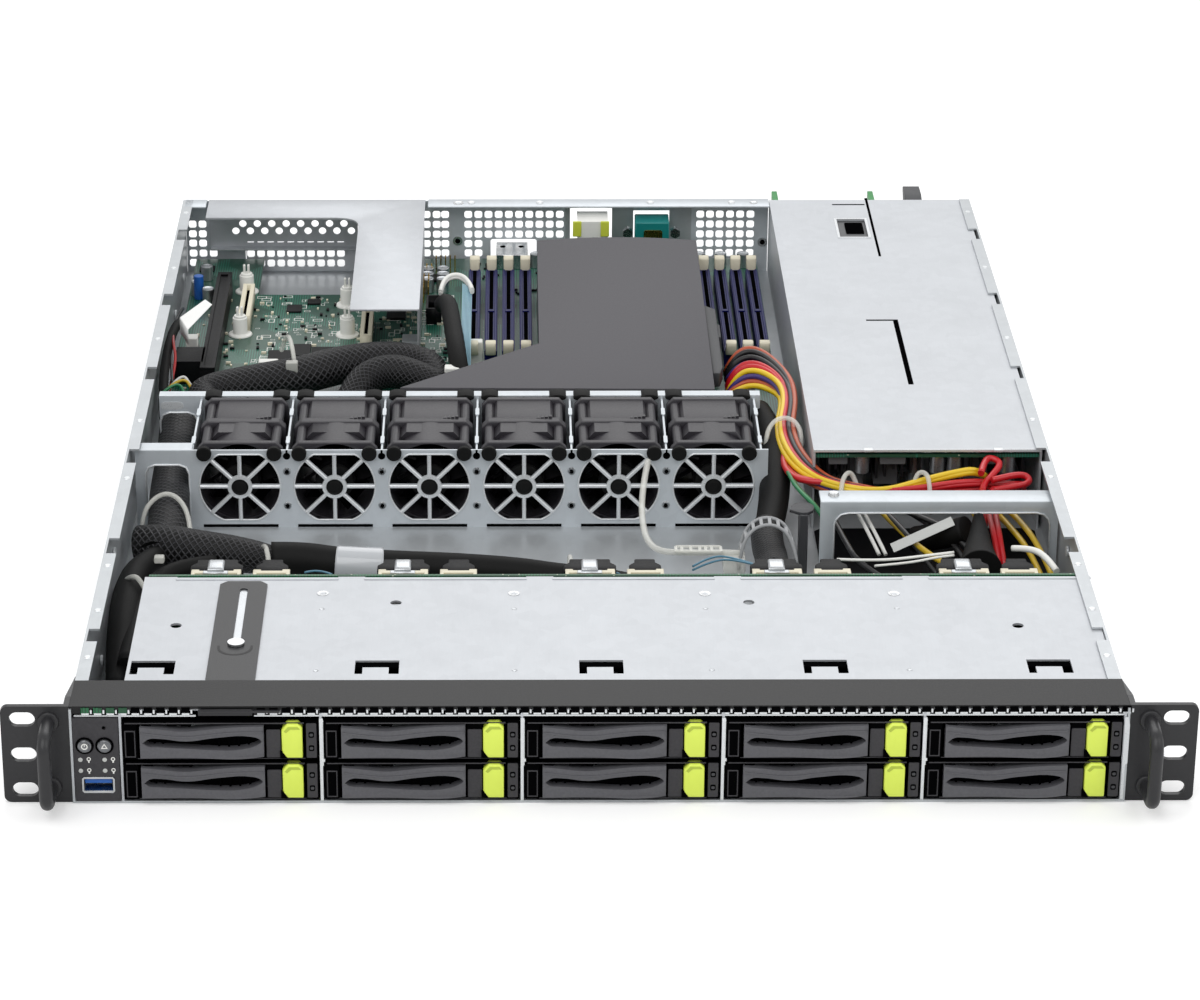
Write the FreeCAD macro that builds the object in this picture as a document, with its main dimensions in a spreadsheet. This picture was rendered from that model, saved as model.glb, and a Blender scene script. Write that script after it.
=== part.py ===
"""Open 1U rack server with ten small-drive bays, a wall of six fans and two power modules.

Lengths are millimetres. X points right, Y points back and Z points up. The origin lies on
the underside, midway across, in the plane of the rack ears' front faces. Every driving
dimension is a cell of the Sizes sheet, and each sub-part is bound to those cells.
"""
import FreeCAD, Part
import math
import os
import re
import Sketcher
from FreeCAD import Placement, Rotation, Vector

DRIVING_SIZES = {
    # rack envelope
    "body_half": 213.5,
    "cover_half": 213.4,
    "ear_half": 241.3,
    "unit_height": 43.4,
    "wall_height": 42.4,
    "body_depth": 612.0,
    "sheet": 1.0,
    "front_lip": 1.0,
    "flange": 5.5,
    # rack ears and their handles
    "ear_sheet": 2.3,
    "slot_half": 232.55,
    "slot_step": 15.875,
    "slot_width": 6.4,
    "slot_length": 10.6,
    "handle_half": 222.0,
    "handle_reach": 19.0,
    "handle_radius": 2.8,
    "handle_low": 6.9,
    "handle_high": 36.5,
    # drive bays
    "bay_left": -192.4,
    "bay_pitch": 81.1,
    "bay_width": 79.0,
    "bay_low": 2.1,
    "bay_rise": 18.2,
    "bay_height": 16.6,
    "bezel_front": -1.5,
    "bezel_back": 15.0,
    "carrier_back": 112.0,
    "rail_width": 3.4,
    "cage_back": 128.0,
    "cage_top": 41.2,
    # fan wall
    "fan_left": -162.0,
    "fan_pitch": 44.16,
    "fan_axis": 21.9,
    "fan_size": 40.0,
    "fan_front": 275.0,
    "fan_length": 56.0,
    "fan_bore": 18.7,
    "fan_hub": 9.5,
    "wall_front": 269.5,
    "wall_back": 336.0,
    "wall_left": -210.5,
    "wall_right": 84.0,
    "wall_top": 40.2,
    "spoke": 1.9,
    # boards
    "board_low": 8.2,
    "board_sheet": 1.6,
    "board_left": -207.0,
    "board_right": 98.0,
    "board_front": 352.0,
    "board_back": 607.0,
    # power cage
    "power_left": 104.8,
    "power_right": 211.0,
    "power_front": 267.0,
    "power_back": 613.0,
    "power_top": 41.3,
    "module_width": 51.0,
    "module_front": 332.0,
    "module_back": 617.0,
    "module_low": 1.6,
    "module_high": 39.9,
}

COLUMNS = 5
ROWS = 2
FANS = 6
MODULES = 2

doc = FreeCAD.newDocument("rack_server")
sizes = doc.addObject("Spreadsheet::Sheet", "Sizes")
for row, (alias, number) in enumerate(DRIVING_SIZES.items(), start=1):
    sizes.set(f"A{row}", alias)
    sizes.set(f"B{row}", str(number))
    sizes.setAlias(f"B{row}", alias)
doc.recompute()
probe = doc.addObject("App::FeaturePython", "Probe")

SUB_PARTS = []


def bind(expression):
    """Expression over the sheet, with each alias given its sheet's name."""
    return re.sub(
        r"[a-z_]+",
        lambda word: f"Sizes.{word.group(0)}" if word.group(0) in DRIVING_SIZES else word.group(0),
        str(expression))


def number(expression):
    """What an expression is worth at the sheet's present values."""
    return float(probe.evalExpression(bind(expression)))


def drive(feature, path, expression):
    """Bind one property of a feature to an expression."""
    feature.setExpression(path, bind(expression))


def name_part(feature, label):
    """Make a feature the sub-part of that name."""
    feature.Label = label
    SUB_PARTS.append(feature)
    return feature


def move(feature, x="0", y="0", z="0"):
    """Place a feature by three expressions."""
    for axis, expression in zip("xyz", (x, y, z)):
        drive(feature, f"Placement.Base.{axis}", expression)
    return feature


def block(name, x, y, z):
    """Box between a low and a high expression on each axis."""
    box = doc.addObject("Part::Box", name)
    for side, (low, high) in zip(("Length", "Width", "Height"), (x, y, z)):
        drive(box, side, f"({high})-({low})")
    return move(box, x[0], y[0], z[0])


TURNS = {
    "x": Rotation(Vector(0, 1, 0), 90),
    "y": Rotation(Vector(1, 0, 0), -90),
    "z": Rotation(),
}


def rod(name, axis, radius, start, length):
    """Cylinder along an axis from a start point of three expressions."""
    cylinder = doc.addObject("Part::Cylinder", name)
    cylinder.Placement = Placement(Vector(), TURNS[axis])
    drive(cylinder, "Radius", radius)
    drive(cylinder, "Height", length)
    return move(cylinder, *start)


def prism(name, axis, sides, radius, start, length):
    """Regular prism along an axis from a start point of three expressions."""
    solid = doc.addObject("Part::Prism", name)
    solid.Polygon = sides
    solid.Placement = Placement(Vector(), TURNS[axis])
    drive(solid, "Circumradius", radius)
    drive(solid, "Height", length)
    return move(solid, *start)


def together(name, pieces):
    """Separate solids held as one object."""
    compound = doc.addObject("Part::Compound", name)
    compound.Links = pieces
    return compound


def fuse(name, pieces):
    """One solid from pieces that touch."""
    union = doc.addObject("Part::MultiFuse", name)
    union.Shapes = pieces
    union.Refine = True
    return union


def cut(name, base, tools):
    """Base with the tools taken out of it."""
    difference = doc.addObject("Part::Cut", name)
    difference.Base = base
    difference.Tool = tools[0] if len(tools) == 1 else together(f"{name}_tools", tools)
    difference.Refine = True
    return difference


def common(name, first, second):
    """What two shapes share."""
    shared = doc.addObject("Part::Common", name)
    shared.Base = first
    shared.Tool = second
    return shared


def copy_at(name, form, x="0", y="0", z="0"):
    """The same form at another place."""
    return move(together(name, [form]), x, y, z)


def bar(name, points, radius, sides=12):
    """Bar or cable along points, each corner turned by an arc as wide as its runs allow."""
    spots = [Vector(*point) for point in points]
    upright = (spots[1] - spots[0]).normalize()
    sideways = upright.cross(Vector(0.31, 0.2, 0.93)).normalize()
    ring = [spots[0] + Rotation(upright, 360.0 * step / sides).multVec(sideways) * radius
            for step in range(sides + 1)]
    section = Part.Face(Part.makePolygon(ring))
    pieces = []
    start = spots[0]
    for before, here, after in zip(spots, spots[1:], spots[2:]):
        along, onward = (here - before).normalize(), (after - here).normalize()
        turn = along.getAngle(onward)
        reach = 0.45 * min((here - before).Length, (after - here).Length)
        bend = reach / math.tan(turn / 2)
        run = here - along * reach - start
        axis = along.cross(onward).normalize()
        centre = here - along * reach + axis.cross(along) * bend
        pieces.append(section.extrude(run))
        section.translate(run)
        pieces.append(section.revolve(centre, axis, math.degrees(turn)))
        section.rotate(centre, axis, math.degrees(turn))
        start = here + onward * reach
        print(f"{name}: bend radius {bend:.0f}")
    pieces.append(section.extrude(spots[-1] - start))
    tube = doc.addObject("Part::Feature", name)
    tube.Shape = pieces[0].multiFuse(pieces[1:])
    return tube


PLANES = {"z": ("XY_Plane", 1.0), "y": ("XZ_Plane", -1.0), "x": ("YZ_Plane", 1.0)}


def draw(sketch, outline):
    """Closed outline of corners (u, v), or (u, v, radius) where an arc leaves the corner.

    A positive radius bulges to the right of the way round, and a negative one to the left.
    """
    first = sketch.GeometryCount
    spots = [Vector(number(corner[0]), number(corner[1]), 0) for corner in outline]
    ring = list(range(len(outline)))
    for index in ring:
        here = spots[index]
        there = spots[(index + 1) % len(spots)]
        if len(outline[index]) == 2:
            sketch.addGeometry(Part.LineSegment(here, there), False)
            continue
        radius = number(outline[index][2])
        chord = there - here
        right = Vector(chord.y, -chord.x, 0).normalize()
        rise = abs(radius) - (radius ** 2 - (chord.Length / 2) ** 2) ** 0.5
        middle = (here + there) / 2 + right * (rise if radius > 0 else -rise)
        sketch.addGeometry(Part.Arc(here, middle, there), False)
    starts, ends = [], []
    for index in ring:
        edge = sketch.Geometry[first + index]
        swapped = (edge.StartPoint - spots[index]).Length > (edge.EndPoint - spots[index]).Length
        starts.append(2 if swapped else 1)
        ends.append(1 if swapped else 2)
    for index in ring:
        after = (index + 1) % len(ring)
        sketch.addConstraint(Sketcher.Constraint(
            "Coincident", first + index, ends[index], first + after, starts[after]))
    for index, corner in enumerate(outline):
        for kind, place, offset in (("DistanceX", corner[0], spots[index].x),
                                    ("DistanceY", corner[1], spots[index].y)):
            pin = sketch.addConstraint(Sketcher.Constraint(
                kind, -1, 1, first + index, starts[index], offset))
            drive(sketch, f"Constraints[{pin}]", place)
        if len(corner) == 3:
            pin = sketch.addConstraint(Sketcher.Constraint(
                "Radius", first + index, abs(number(corner[2]))))
            drive(sketch, f"Constraints[{pin}]", f"abs({corner[2]})")


def sketch_on(body, axis, height, outlines):
    """Sketch across an axis at a height along it, on the body's own origin plane."""
    role, sense = PLANES[axis]
    sketch = body.newObject("Sketcher::SketchObject", "Sketch")
    plane = [item for item in body.Origin.OriginFeatures if item.Role == role][0]
    sketch.AttachmentSupport = [(plane, "")]
    sketch.MapMode = "FlatFace"
    drive(sketch, "AttachmentOffset.Base.z", f"{sense}*({height})")
    for outline in outlines:
        draw(sketch, outline)
    return sketch


def new_body(name):
    """Empty body."""
    return doc.addObject("PartDesign::Body", name)


def pad(body, axis, low, high, *outlines):
    """Outlines made solid between two heights along an axis."""
    start = high if axis == "y" else low
    feature = body.newObject("PartDesign::Pad", "Pad")
    feature.Profile = sketch_on(body, axis, start, outlines)
    drive(feature, "Length", f"({high})-({low})")
    doc.recompute()
    return body


def pocket(body, axis, low, high, *outlines):
    """Outlines taken out of a body between two heights along an axis."""
    start = low if axis == "y" else high
    feature = body.newObject("PartDesign::Pocket", "Pocket")
    feature.Profile = sketch_on(body, axis, start, outlines)
    drive(feature, "Length", f"({high})-({low})")
    before = body.Shape.Volume
    doc.recompute()
    if body.Shape.Volume >= before:
        raise ValueError(f"{body.Name}: a pocket cuts nothing")
    return body


def rectangle(u, v):
    """Outline between low and high expressions on both sketch axes."""
    return [(u[0], v[0]), (u[1], v[0]), (u[1], v[1]), (u[0], v[1])]


def slot_shape(u, v, length, width):
    """Round-ended slot about a centre, along the first sketch axis."""
    near, far = f"{u}-({length}-{width})/2", f"{u}+({length}-{width})/2"
    low, high = f"{v}-{width}/2", f"{v}+{width}/2"
    return [(near, low), (far, low, f"{width}/2*1.0001"), (far, high),
            (near, high, f"{width}/2*1.0001")]


# ---------------------------------------------------------------- chassis sheet metal

def chassis_tray():
    """Folded tray: floor, two walls with rolled tops, and posts for the main board."""
    body = new_body("Tray")
    inner, lip = "body_half-sheet", "body_half-flange"
    pad(body, "y", "-front_lip", "body_depth-sheet", [
        ("-body_half", "0"), ("body_half", "0"), ("body_half", "wall_height"),
        (lip, "wall_height"), (lip, "wall_height-sheet"), (inner, "wall_height-sheet"),
        (inner, "sheet"), (f"-({inner})", "sheet"), (f"-({inner})", "wall_height-sheet"),
        (f"-({lip})", "wall_height-sheet"), (f"-({lip})", "wall_height"),
        ("-body_half", "wall_height")])
    notches = []
    for start, length in ((-2, 26), (62, 12), (150, 16), (250, 16), (352, 16), (452, 16), (548, 16)):
        along = (f"{start}", f"{start}+{length}")
        notches.append(rectangle(("body_half-flange-1", "body_half-sheet"), along))
        notches.append(rectangle(("sheet-body_half", "flange+1-body_half"), along))
    pocket(body, "z", "wall_height-sheet-1", "wall_height+1", *notches)
    posts = []
    for x in ("board_left+8", "board_left+130", "board_right-8"):
        for y in ("board_front+10", "board_front+130", "board_back-12"):
            posts.append(prism("Post", "z", 6, "3.2", (x, y, "sheet-0.2"), "board_low-sheet+0.2"))
    name_part(fuse("TrayWithPosts", [body] + posts), "chassis_tray")


def vent_grid(x, z, columns, rows, pitch, side):
    """Cutters of square vents in the rear panel, counted from the lower left one's centre."""
    grid = []
    for column in range(columns):
        for row in range(rows):
            u, v = f"{x}+{column}*{pitch}", f"{z}+{row}*{pitch}"
            grid.append(block("SquareVent", (f"{u}-{side}/2", f"{u}+{side}/2"),
                              ("body_depth-sheet-1", "body_depth+1"),
                              (f"{v}-{side}/2", f"{v}+{side}/2")))
    return grid


def rear_panel():
    """Rear wall with its top flange, vents, connector cut-outs and expansion window."""
    body = new_body("RearPanel")
    pad(body, "x", "sheet-body_half+0.1", "power_left-0.4", [
        ("body_depth-sheet", "sheet"), ("body_depth", "sheet"), ("body_depth", "wall_height"),
        ("body_depth-sheet", "wall_height")])
    pad(body, "x", "-60", "power_left-0.4", rectangle(
        ("body_depth-12", "body_depth-sheet+0.2"), ("wall_height-sheet", "wall_height")))
    pocket(body, "y", "body_depth-sheet-0.5", "body_depth+1",
           rectangle(("-178", "-121"), ("14", "38")), rectangle(("-60.5", "-43.5"), ("9", "25")),
           rectangle(("-3", "17"), ("9", "37.5")), rectangle(("25.5", "56.5"), ("9", "21.5")))
    vents = []
    for start, columns in (("-206", 2), ("-84", 3), ("-34", 4), ("70", 4)):
        vents += vent_grid(start, 6.6, columns, 5, 5.55, 4.2)
    name_part(cut("RearPanelVented", body, vents), "rear_panel")


def rack_ears():
    """Two slotted rack ears, each folded back along its wall."""
    ears = []
    for side in (-1, 1):
        body = new_body("Ear")
        inner, outer = f"{side}*body_half", f"{side}*ear_half"
        corner = f"{side}*(ear_half-3)"
        plate = [(inner, "0"), (corner, "0", "3*1.0001"), (outer, "3"),
                 (outer, "unit_height-3", "3*1.0001"), (corner, "unit_height"),
                 (inner, "unit_height")]
        if side < 0:
            plate = [(inner, "unit_height"), (corner, "unit_height", "3*1.0001"),
                     (outer, "unit_height-3"), (outer, "3", "3*1.0001"), (corner, "0"),
                     (inner, "0")]
        pad(body, "y", "0", "ear_sheet", plate)
        slots = [slot_shape(f"{side}*slot_half", f"unit_height/2+{step}*slot_step",
                            "slot_length", "slot_width") for step in (-1, 0, 1)]
        pocket(body, "y", "-1", "ear_sheet+1", *slots)
        near, far = sorted(("body_half", "body_half+ear_sheet"))
        low, high = (near, far) if side > 0 else (f"-({far})", f"-({near})")
        pad(body, "x", low, high, [
            ("ear_sheet-0.2", "0.6"), ("46", "0.6"), ("46", "34"), ("9", "unit_height"),
            ("ear_sheet-0.2", "unit_height")])
        ears.append(body)
    name_part(together("RackEars", ears), "rack_ears")


def ear_handles():
    """Two round bars, each bent twice and set against its ear."""
    reach, low, high = number("-handle_reach"), number("handle_low"), number("handle_high")
    bars = []
    for side in (-1, 1):
        x = number(f"{side}*handle_half")
        bars.append(bar("Handle", [(x, 0, high), (x, reach, high), (x, reach, low), (x, 0, low)],
                        number("handle_radius"), 16))
    name_part(together("EarHandles", bars), "ear_handles")


def front_top_cover():
    """Black cover over the front of the drive cage, its lip toothed for air."""
    lip_half = "body_half-sheet-0.2"
    body = new_body("FrontCover")
    pad(body, "z", "wall_height", "unit_height", rectangle(("-cover_half", "cover_half"),
                                                           ("0", "23.5")))
    pad(body, "y", "0", "sheet", rectangle((f"-({lip_half})", lip_half),
                                           ("40.1", "wall_height+0.2")))
    teeth = [block("TagSlot", ("-162", "-126.5"), ("-1", "sheet+1"), ("39.5", "42.1"))]
    for step in range(42):
        x = -205.5 + step * 10.1
        if not -165 < x < -124:
            teeth.append(block("AirNotch", (f"{x}-3.4", f"{x}+3.4"), ("-1", "sheet+1"),
                               ("39.5", "42.2")))
    name_part(cut("FrontCoverToothed", body, teeth), "front_top_cover")


# ---------------------------------------------------------------- drive bays

def drive_cage():
    """Cage of the drive bays: lid, walls between columns and rails between rows."""
    lid_low = "cage_top-sheet"
    lid = new_body("CageLid")
    pad(lid, "z", lid_low, "cage_top", rectangle(
        ("bay_left-1.2", "bay_left+bay_pitch*4+bay_width+1.2"), ("2.5", "cage_back")))
    openings = []
    for column in range(COLUMNS):
        left = f"bay_left+bay_pitch*{column}"
        openings.append(rectangle((f"{left}+12.8", f"{left}+bay_width+3.2"),
                                  ("cage_back-1.6", "cage_back+1")))
        catch = f"-192.2+92.3*{column}"
        openings.append([(f"{catch}", "33.5"), (f"{catch}+3.2", "33.5"), (f"{catch}+3.2", "39.5"),
                         (f"{catch}+14", "39.5"), (f"{catch}+14", "33.5"),
                         (f"{catch}+18.2", "33.5"), (f"{catch}+18.2", "46"), (f"{catch}", "46")])
    pocket(lid, "z", f"{lid_low}-1", "cage_top+1", *openings)
    pieces = [lid]
    wall_high = f"{lid_low}+0.2"
    edges = ["bay_left-1.2"] + [f"bay_left+bay_pitch*{c}-1.55" for c in range(1, COLUMNS)]
    edges.append("bay_left+bay_pitch*4+bay_width+0.2")
    for index, left in enumerate(edges):
        pieces.append(block("CageWall", (left, f"{left}+sheet"), ("-0.8", "cage_back"),
                            ("sheet", wall_high)))
        for sense in (-1, 1):
            if (index, sense) in ((0, -1), (COLUMNS, 1)):
                continue
            inner = f"{left}+0.5"
            low, high = (f"{inner}-5", inner) if sense < 0 else (inner, f"{inner}+5")
            rail = "bay_low+bay_height+0.35"
            pieces.append(block("CageRail", (low, high), ("17", "cage_back-10"),
                                (rail, "bay_low+bay_rise-0.35")))
    cage = fuse("CageJoined", pieces)
    holes = []
    for x, y in ((-176.5, 79.6), (-84.6, 101.6), (65.6, 101.6), (177.5, 78.4)):
        holes.append(rod("CageHole", "z", "2.4", (f"{x}", f"{y}", f"{lid_low}-1"), "3"))
    rivet = fuse("TagRivet", [
        prism("RivetShank", "z", 12, "1.3", ("-150", "60", "cage_top"), "1.2"),
        prism("RivetHead", "z", 16, "3.6", ("-150", "60", "cage_top+1.0"), "1.0")])
    name_part(together("DriveCage", [cut("CageDrilled", cage, holes), rivet]), "drive_cage")


def info_tag():
    """Pull-out strip with a slot that slides along its rivet."""
    body = new_body("InfoTag")
    low, high = "cage_top+0.2", "cage_top+0.8"
    pad(body, "z", low, high, [
        ("-160.5", "0"), ("-160.5", "-2.2"), ("-128.5", "-2.2"), ("-128.5", "0"), ("-140.2", "2"),
        ("-140.2", "119"), ("-143.2", "122"), ("-157.5", "122"), ("-160.5", "119")])
    pocket(body, "z", f"{low}-1", f"{high}+1", [
        ("-151.7", "58.3", "1.7*1.0001"), ("-148.3", "58.3"), ("-148.3", "113", "1.7*1.0001"),
        ("-151.7", "113")])
    name_part(body, "info_tag")


def drive_carrier_form():
    """Drive carrier of the first bay: bezel with its recesses, two rails and a cross-bar."""
    left, low = "bay_left", "bay_low"
    right, high = "bay_left+bay_width", "bay_low+bay_height"
    bezel = block("Bezel", (left, right), ("bezel_front", "bezel_back"), (low, high))
    recesses = [
        block("LeverRecess", (f"{left}+6", f"{left}+58"), ("bezel_front-1", "8"),
              (f"{low}+0.5", f"{high}-0.5")),
        block("LatchRecess", (f"{left}+63.9", f"{left}+74.1"), ("bezel_front-1", "6.5"),
              (f"{low}+0.8", f"{high}+1")),
        block("BezelBack", (f"{left}+4", f"{right}-4"), ("11", "bezel_back+1"),
              (f"{low}+0.8", f"{high}+1"))]
    for step in range(3):
        vent = f"{left}+13+{step}*14"
        recesses.append(block("BezelVent", (vent, f"{vent}+10"), ("7", "12"),
                              (f"{low}+3", f"{low}+13.4")))
    shell = cut("BezelShell", bezel, recesses)
    rails = [
        block("HingeLugLow", (f"{left}+7.9", f"{left}+11.9"), ("bezel_front", "8.2"),
              (f"{low}+0.4", f"{low}+1.1")),
        block("HingeLugHigh", (f"{left}+7.9", f"{left}+11.9"), ("bezel_front", "8.2"),
              (f"{low}+15", f"{high}-0.4")),
        block("RailLeft", (f"{left}+0.5", f"{left}+0.5+rail_width"), ("14", "carrier_back"),
              (f"{low}+0.6", f"{low}+13.6")),
        block("RailRight", (f"{right}-0.5-rail_width", f"{right}-0.5"), ("14", "carrier_back"),
              (f"{low}+0.6", f"{low}+13.6")),
        block("CrossBar", (f"{left}+0.5", f"{right}-0.5"), ("carrier_back-4", "carrier_back"),
              (f"{low}+0.6", f"{low}+4.6"))]
    return fuse("CarrierForm", [shell] + rails)


def drive_lever_form():
    """Ejector lever of the first bay: a grip pierced by an eye-shaped window."""
    left, low = "bay_left", "bay_low"
    body = new_body("LeverForm")
    pad(body, "y", "-3.4", "1.6", [
        (f"{left}+7.2", f"{low}+1.2"), (f"{left}+57.3", f"{low}+1.2"),
        (f"{left}+57.3", f"{low}+15.3"), (f"{left}+44", f"{low}+15.3"),
        (f"{left}+28", f"{low}+13.9"), (f"{left}+7.2", f"{low}+14.9")])
    pocket(body, "y", "-4", "2", [
        (f"{left}+9", f"{low}+8.4", "105"), (f"{left}+55.2", f"{low}+8.4", "145")])
    return body


def drive_latch_form():
    """Release latch of the first bay: a slanted thumb piece that slides sideways."""
    left, low = "bay_left", "bay_low"
    body = new_body("LatchForm")
    pad(body, "y", "-2.7", "5.8", [
        (f"{left}+66.4", f"{low}+1.2"), (f"{left}+72.7", f"{low}+1.2"),
        (f"{left}+72.7", f"{low}+14.4"), (f"{left}+71", f"{low}+16.3"),
        (f"{left}+66.2", f"{low}+16.3"), (f"{left}+64.3", f"{low}+13.6"),
        (f"{left}+64.3", f"{low}+3.6")])
    return body


def drive_bays():
    """Carrier, lever and latch of every bay, top row first."""
    forms = (("drive_carrier", drive_carrier_form()), ("drive_lever", drive_lever_form()),
             ("drive_latch", drive_latch_form()))
    for row in range(ROWS):
        for column in range(COLUMNS):
            bay = row * COLUMNS + column + 1
            for label, form in forms:
                piece = copy_at(f"{label}_copy", form, x=f"bay_pitch*{column}",
                                z=f"bay_rise*{ROWS - 1 - row}")
                name_part(piece, f"{label}_{bay}")


def control_panel():
    """Bezel of the power button, lights and port, with its board behind."""
    left, right = "sheet-body_half+0.3", "bay_left-1.5"
    bezel = block("PanelBezel", (left, right), ("bezel_front", "11"), ("sheet+0.1", "38.6"))
    x_power, x_locate, z_button = "-207.6", "-199.6", "26.5"
    hollow = [
        block("PanelHollow", (f"{left}+1", f"{right}-1"), ("0.5", "12"), ("12.6", "37.6")),
        block("PortHole", ("-209.1", "-196.3"), ("bezel_front-1", "12"), ("5.4", "12.0")),
        rod("PowerHole", "y", "3.1", (x_power, "bezel_front-1", z_button), "4"),
        rod("LocateHole", "y", "3.1", (x_locate, "bezel_front-1", z_button), "4"),
        rod("ResetHole", "y", "0.8", ("-199.6", "bezel_front-1", "34.4"), "4")]
    port = cut("PortShell", block("PortOuter", ("-209.0", "-196.4"), ("bezel_front+0.1", "11.2"),
                                  ("5.5", "11.9")),
               [block("PortInner", ("-208.6", "-196.8"), ("bezel_front-1", "10"),
                      ("5.9", "11.5"))])
    tongue = block("PortTongue", ("-208.2", "-197.2"), ("bezel_front+1.2", "10.2"), ("9.2", "11.0"))
    board = block("PanelBoard", (left, right), ("11.3", "12.9"), ("3", "41"))
    pieces = [cut("PanelShell", bezel, hollow), fuse("Port", [port, tongue]), board]
    name_part(together("ControlPanel", pieces), "control_panel")
    for label, x in (("power_button", x_power), ("locate_button", x_locate)):
        name_part(rod("ButtonCap", "y", "2.8", (x, "bezel_front-0.9", z_button), "11.4"), label)


def backplane():
    """Upright board behind the bays: drive connectors in front, cable sockets behind."""
    face, back = "cage_back+0.5", "cage_back+2.1"
    board = block("BackplaneBoard", ("bay_left+0.5", "bay_left+bay_pitch*4+bay_width"),
                  (face, back), ("4", "cage_top+0.2"))
    pieces = []
    windows = []
    for column in range(COLUMNS):
        left = f"bay_left+bay_pitch*{column}"
        for row in range(ROWS):
            low = f"bay_low+bay_rise*{row}"
            windows.append(block("AirWindow", (f"{left}+8", f"{left}+28"), (f"{face}-1", f"{back}+1"),
                                 (f"{low}+4", f"{low}+12")))
            pieces.append(block("DriveSocket", (f"{left}+31", f"{left}+73"),
                                ("cage_back-6", f"{face}"), (f"{low}+6.5", f"{low}+11.5")))
        middle = f"{left}+29"
        pieces.append(block("DataSocket", (f"{middle}-11", f"{middle}+11"), (back, f"{back}+7"),
                            ("27", "38.5")))
        middle = f"{left}+52"
        pieces.append(block("PowerSocket", (f"{middle}-7.5", f"{middle}+7.5"), (back, f"{back}+6.5"),
                            ("27", "38.5")))
    name_part(together("Backplane", [cut("BackplanePierced", board, windows)] + pieces),
              "backplane")


# ---------------------------------------------------------------- fan wall

def grille_cutter():
    """Eight sectors between a fan opening's rim, eight-sided hub and spokes."""
    x, z = "fan_left", "fan_axis"
    disc = rod("GrilleRim", "y", "fan_bore", (x, "wall_front-1", z), "sheet+2")
    flats = block("GrilleFlats", (f"{x}-20", f"{x}+20"), ("wall_front-1.5", "wall_front+sheet+1.5"),
                  (f"{z}-17", f"{z}+15.9"))
    hub = prism("GrilleHub", "y", 8, "5.8", (x, "wall_front-1.5", z), "sheet+3")
    webs = [hub]
    for turn in range(4):
        web = doc.addObject("Part::Box", "Spoke")
        drive(web, "Length", "44")
        drive(web, "Width", "sheet+3")
        drive(web, "Height", "spoke")
        drive(web, "Placement.Base.x", f"{x}-22*cos({turn}*45)+spoke/2*sin({turn}*45)")
        drive(web, "Placement.Base.y", "wall_front-1.5")
        drive(web, "Placement.Base.z", f"{z}-22*sin({turn}*45)-spoke/2*cos({turn}*45)")
        web.Placement.Rotation = Rotation(Vector(0, 1, 0), -45 * turn)
        webs.append(web)
    return cut("GrilleCutter", common("GrilleOpening", disc, flats), webs)


def cable_arch(x_low, x_high, top, y_low, y_high):
    """Cutter of a cable window with round upper corners."""
    body = new_body("CableArch")
    pad(body, "y", y_low, y_high, [
        (x_low, "7"), (x_high, "7"), (x_high, f"{top}-5", "5*1.0001"), (f"{x_high}-5", top),
        (f"{x_low}+5", top, "5*1.0001"), (x_low, f"{top}-5")])
    return body


def fan_bracket():
    """Folded channel that holds the fans between a grilled wall and a rear wall."""
    floor = block("BracketFloor", ("wall_left", "wall_right"), ("wall_front", "wall_back+sheet"),
                  ("sheet", "sheet*2"))
    front = block("BracketFront", ("wall_left", "wall_right"), ("wall_front", "wall_front+sheet"),
                  ("sheet", "wall_top"))
    rear = block("BracketRear", ("wall_left+6", "wall_right"), ("wall_back", "wall_back+sheet"),
                 ("sheet", "wall_top"))
    lip = block("BracketLip", ("wall_left", "fan_left-22"), ("wall_front", "wall_front+9"),
                ("wall_top-sheet", "wall_top"))
    rear_lip = block("BracketRearLip", ("wall_left+6", "wall_right"),
                     ("wall_back", "wall_back+6"), ("wall_top-sheet", "wall_top"))
    cutter = grille_cutter()
    tools = [
        cable_arch("-205.7", "-185.5", "32.9", "wall_front-1", "wall_front+sheet+1"),
        cable_arch("-204.2", "-186.3", "31.7", "wall_back-1", "wall_back+sheet+1")]
    for fan in range(FANS):
        tools.append(copy_at("Grille", cutter, x=f"fan_pitch*{fan}"))
        middle = f"fan_left+fan_pitch*{fan}"
        tools.append(prism("RearOpening", "y", 8, "fan_bore-1", (middle, "wall_back-1", "fan_axis"),
                           "sheet+2"))
    name_part(cut("FanBracket", fuse("BracketFolded", [floor, front, rear, lip, rear_lip]), tools),
              "fan_bracket")


def fan_housing_form():
    """Body of a two-stage fan: three flanges, two barrels, corner posts and a motor bridge."""
    x, z, front = "fan_left", "fan_axis", "fan_front"
    half = "fan_size/2"
    sides, heights = (f"{x}-{half}", f"{x}+{half}"), ("sheet*2", f"{z}+{half}-0.3")
    pieces = [block("FanFlange", sides, (f"{front}+{start}", f"{front}+{start}+4"), heights)
              for start in (0, 26, 52)]
    pieces.append(block("FanBarrelRear", (f"{x}-12.5", f"{x}+12.5"), (f"{front}+28", f"{front}+54"),
                        (f"{z}-19.4", f"{z}+19.2")))
    pieces.append(block("FanBarrel", (f"{x}-19.2", f"{x}+19.2"), (f"{front}+2", f"{front}+54"),
                        (f"{z}-15.5", f"{z}+15.5")))
    pieces.append(block("FanBarrelFront", (f"{x}-10", f"{x}+10"), (f"{front}+2", f"{front}+28"),
                        (f"{z}-19.4", f"{z}+19.2")))
    solid = fuse("FanSolid", pieces)
    shell = cut("FanShell", solid, [prism("FanBore", "y", 24, "fan_bore+0.1", (x, f"{front}-1", z),
                                          "fan_length+2")])
    bridge = block("MotorBridge", (f"{x}-18.8", f"{x}+18.8"), (f"{front}+27", f"{front}+29"),
                   (f"{z}-3", f"{z}+3"))
    return fuse("FanForm", [shell, bridge])


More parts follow.
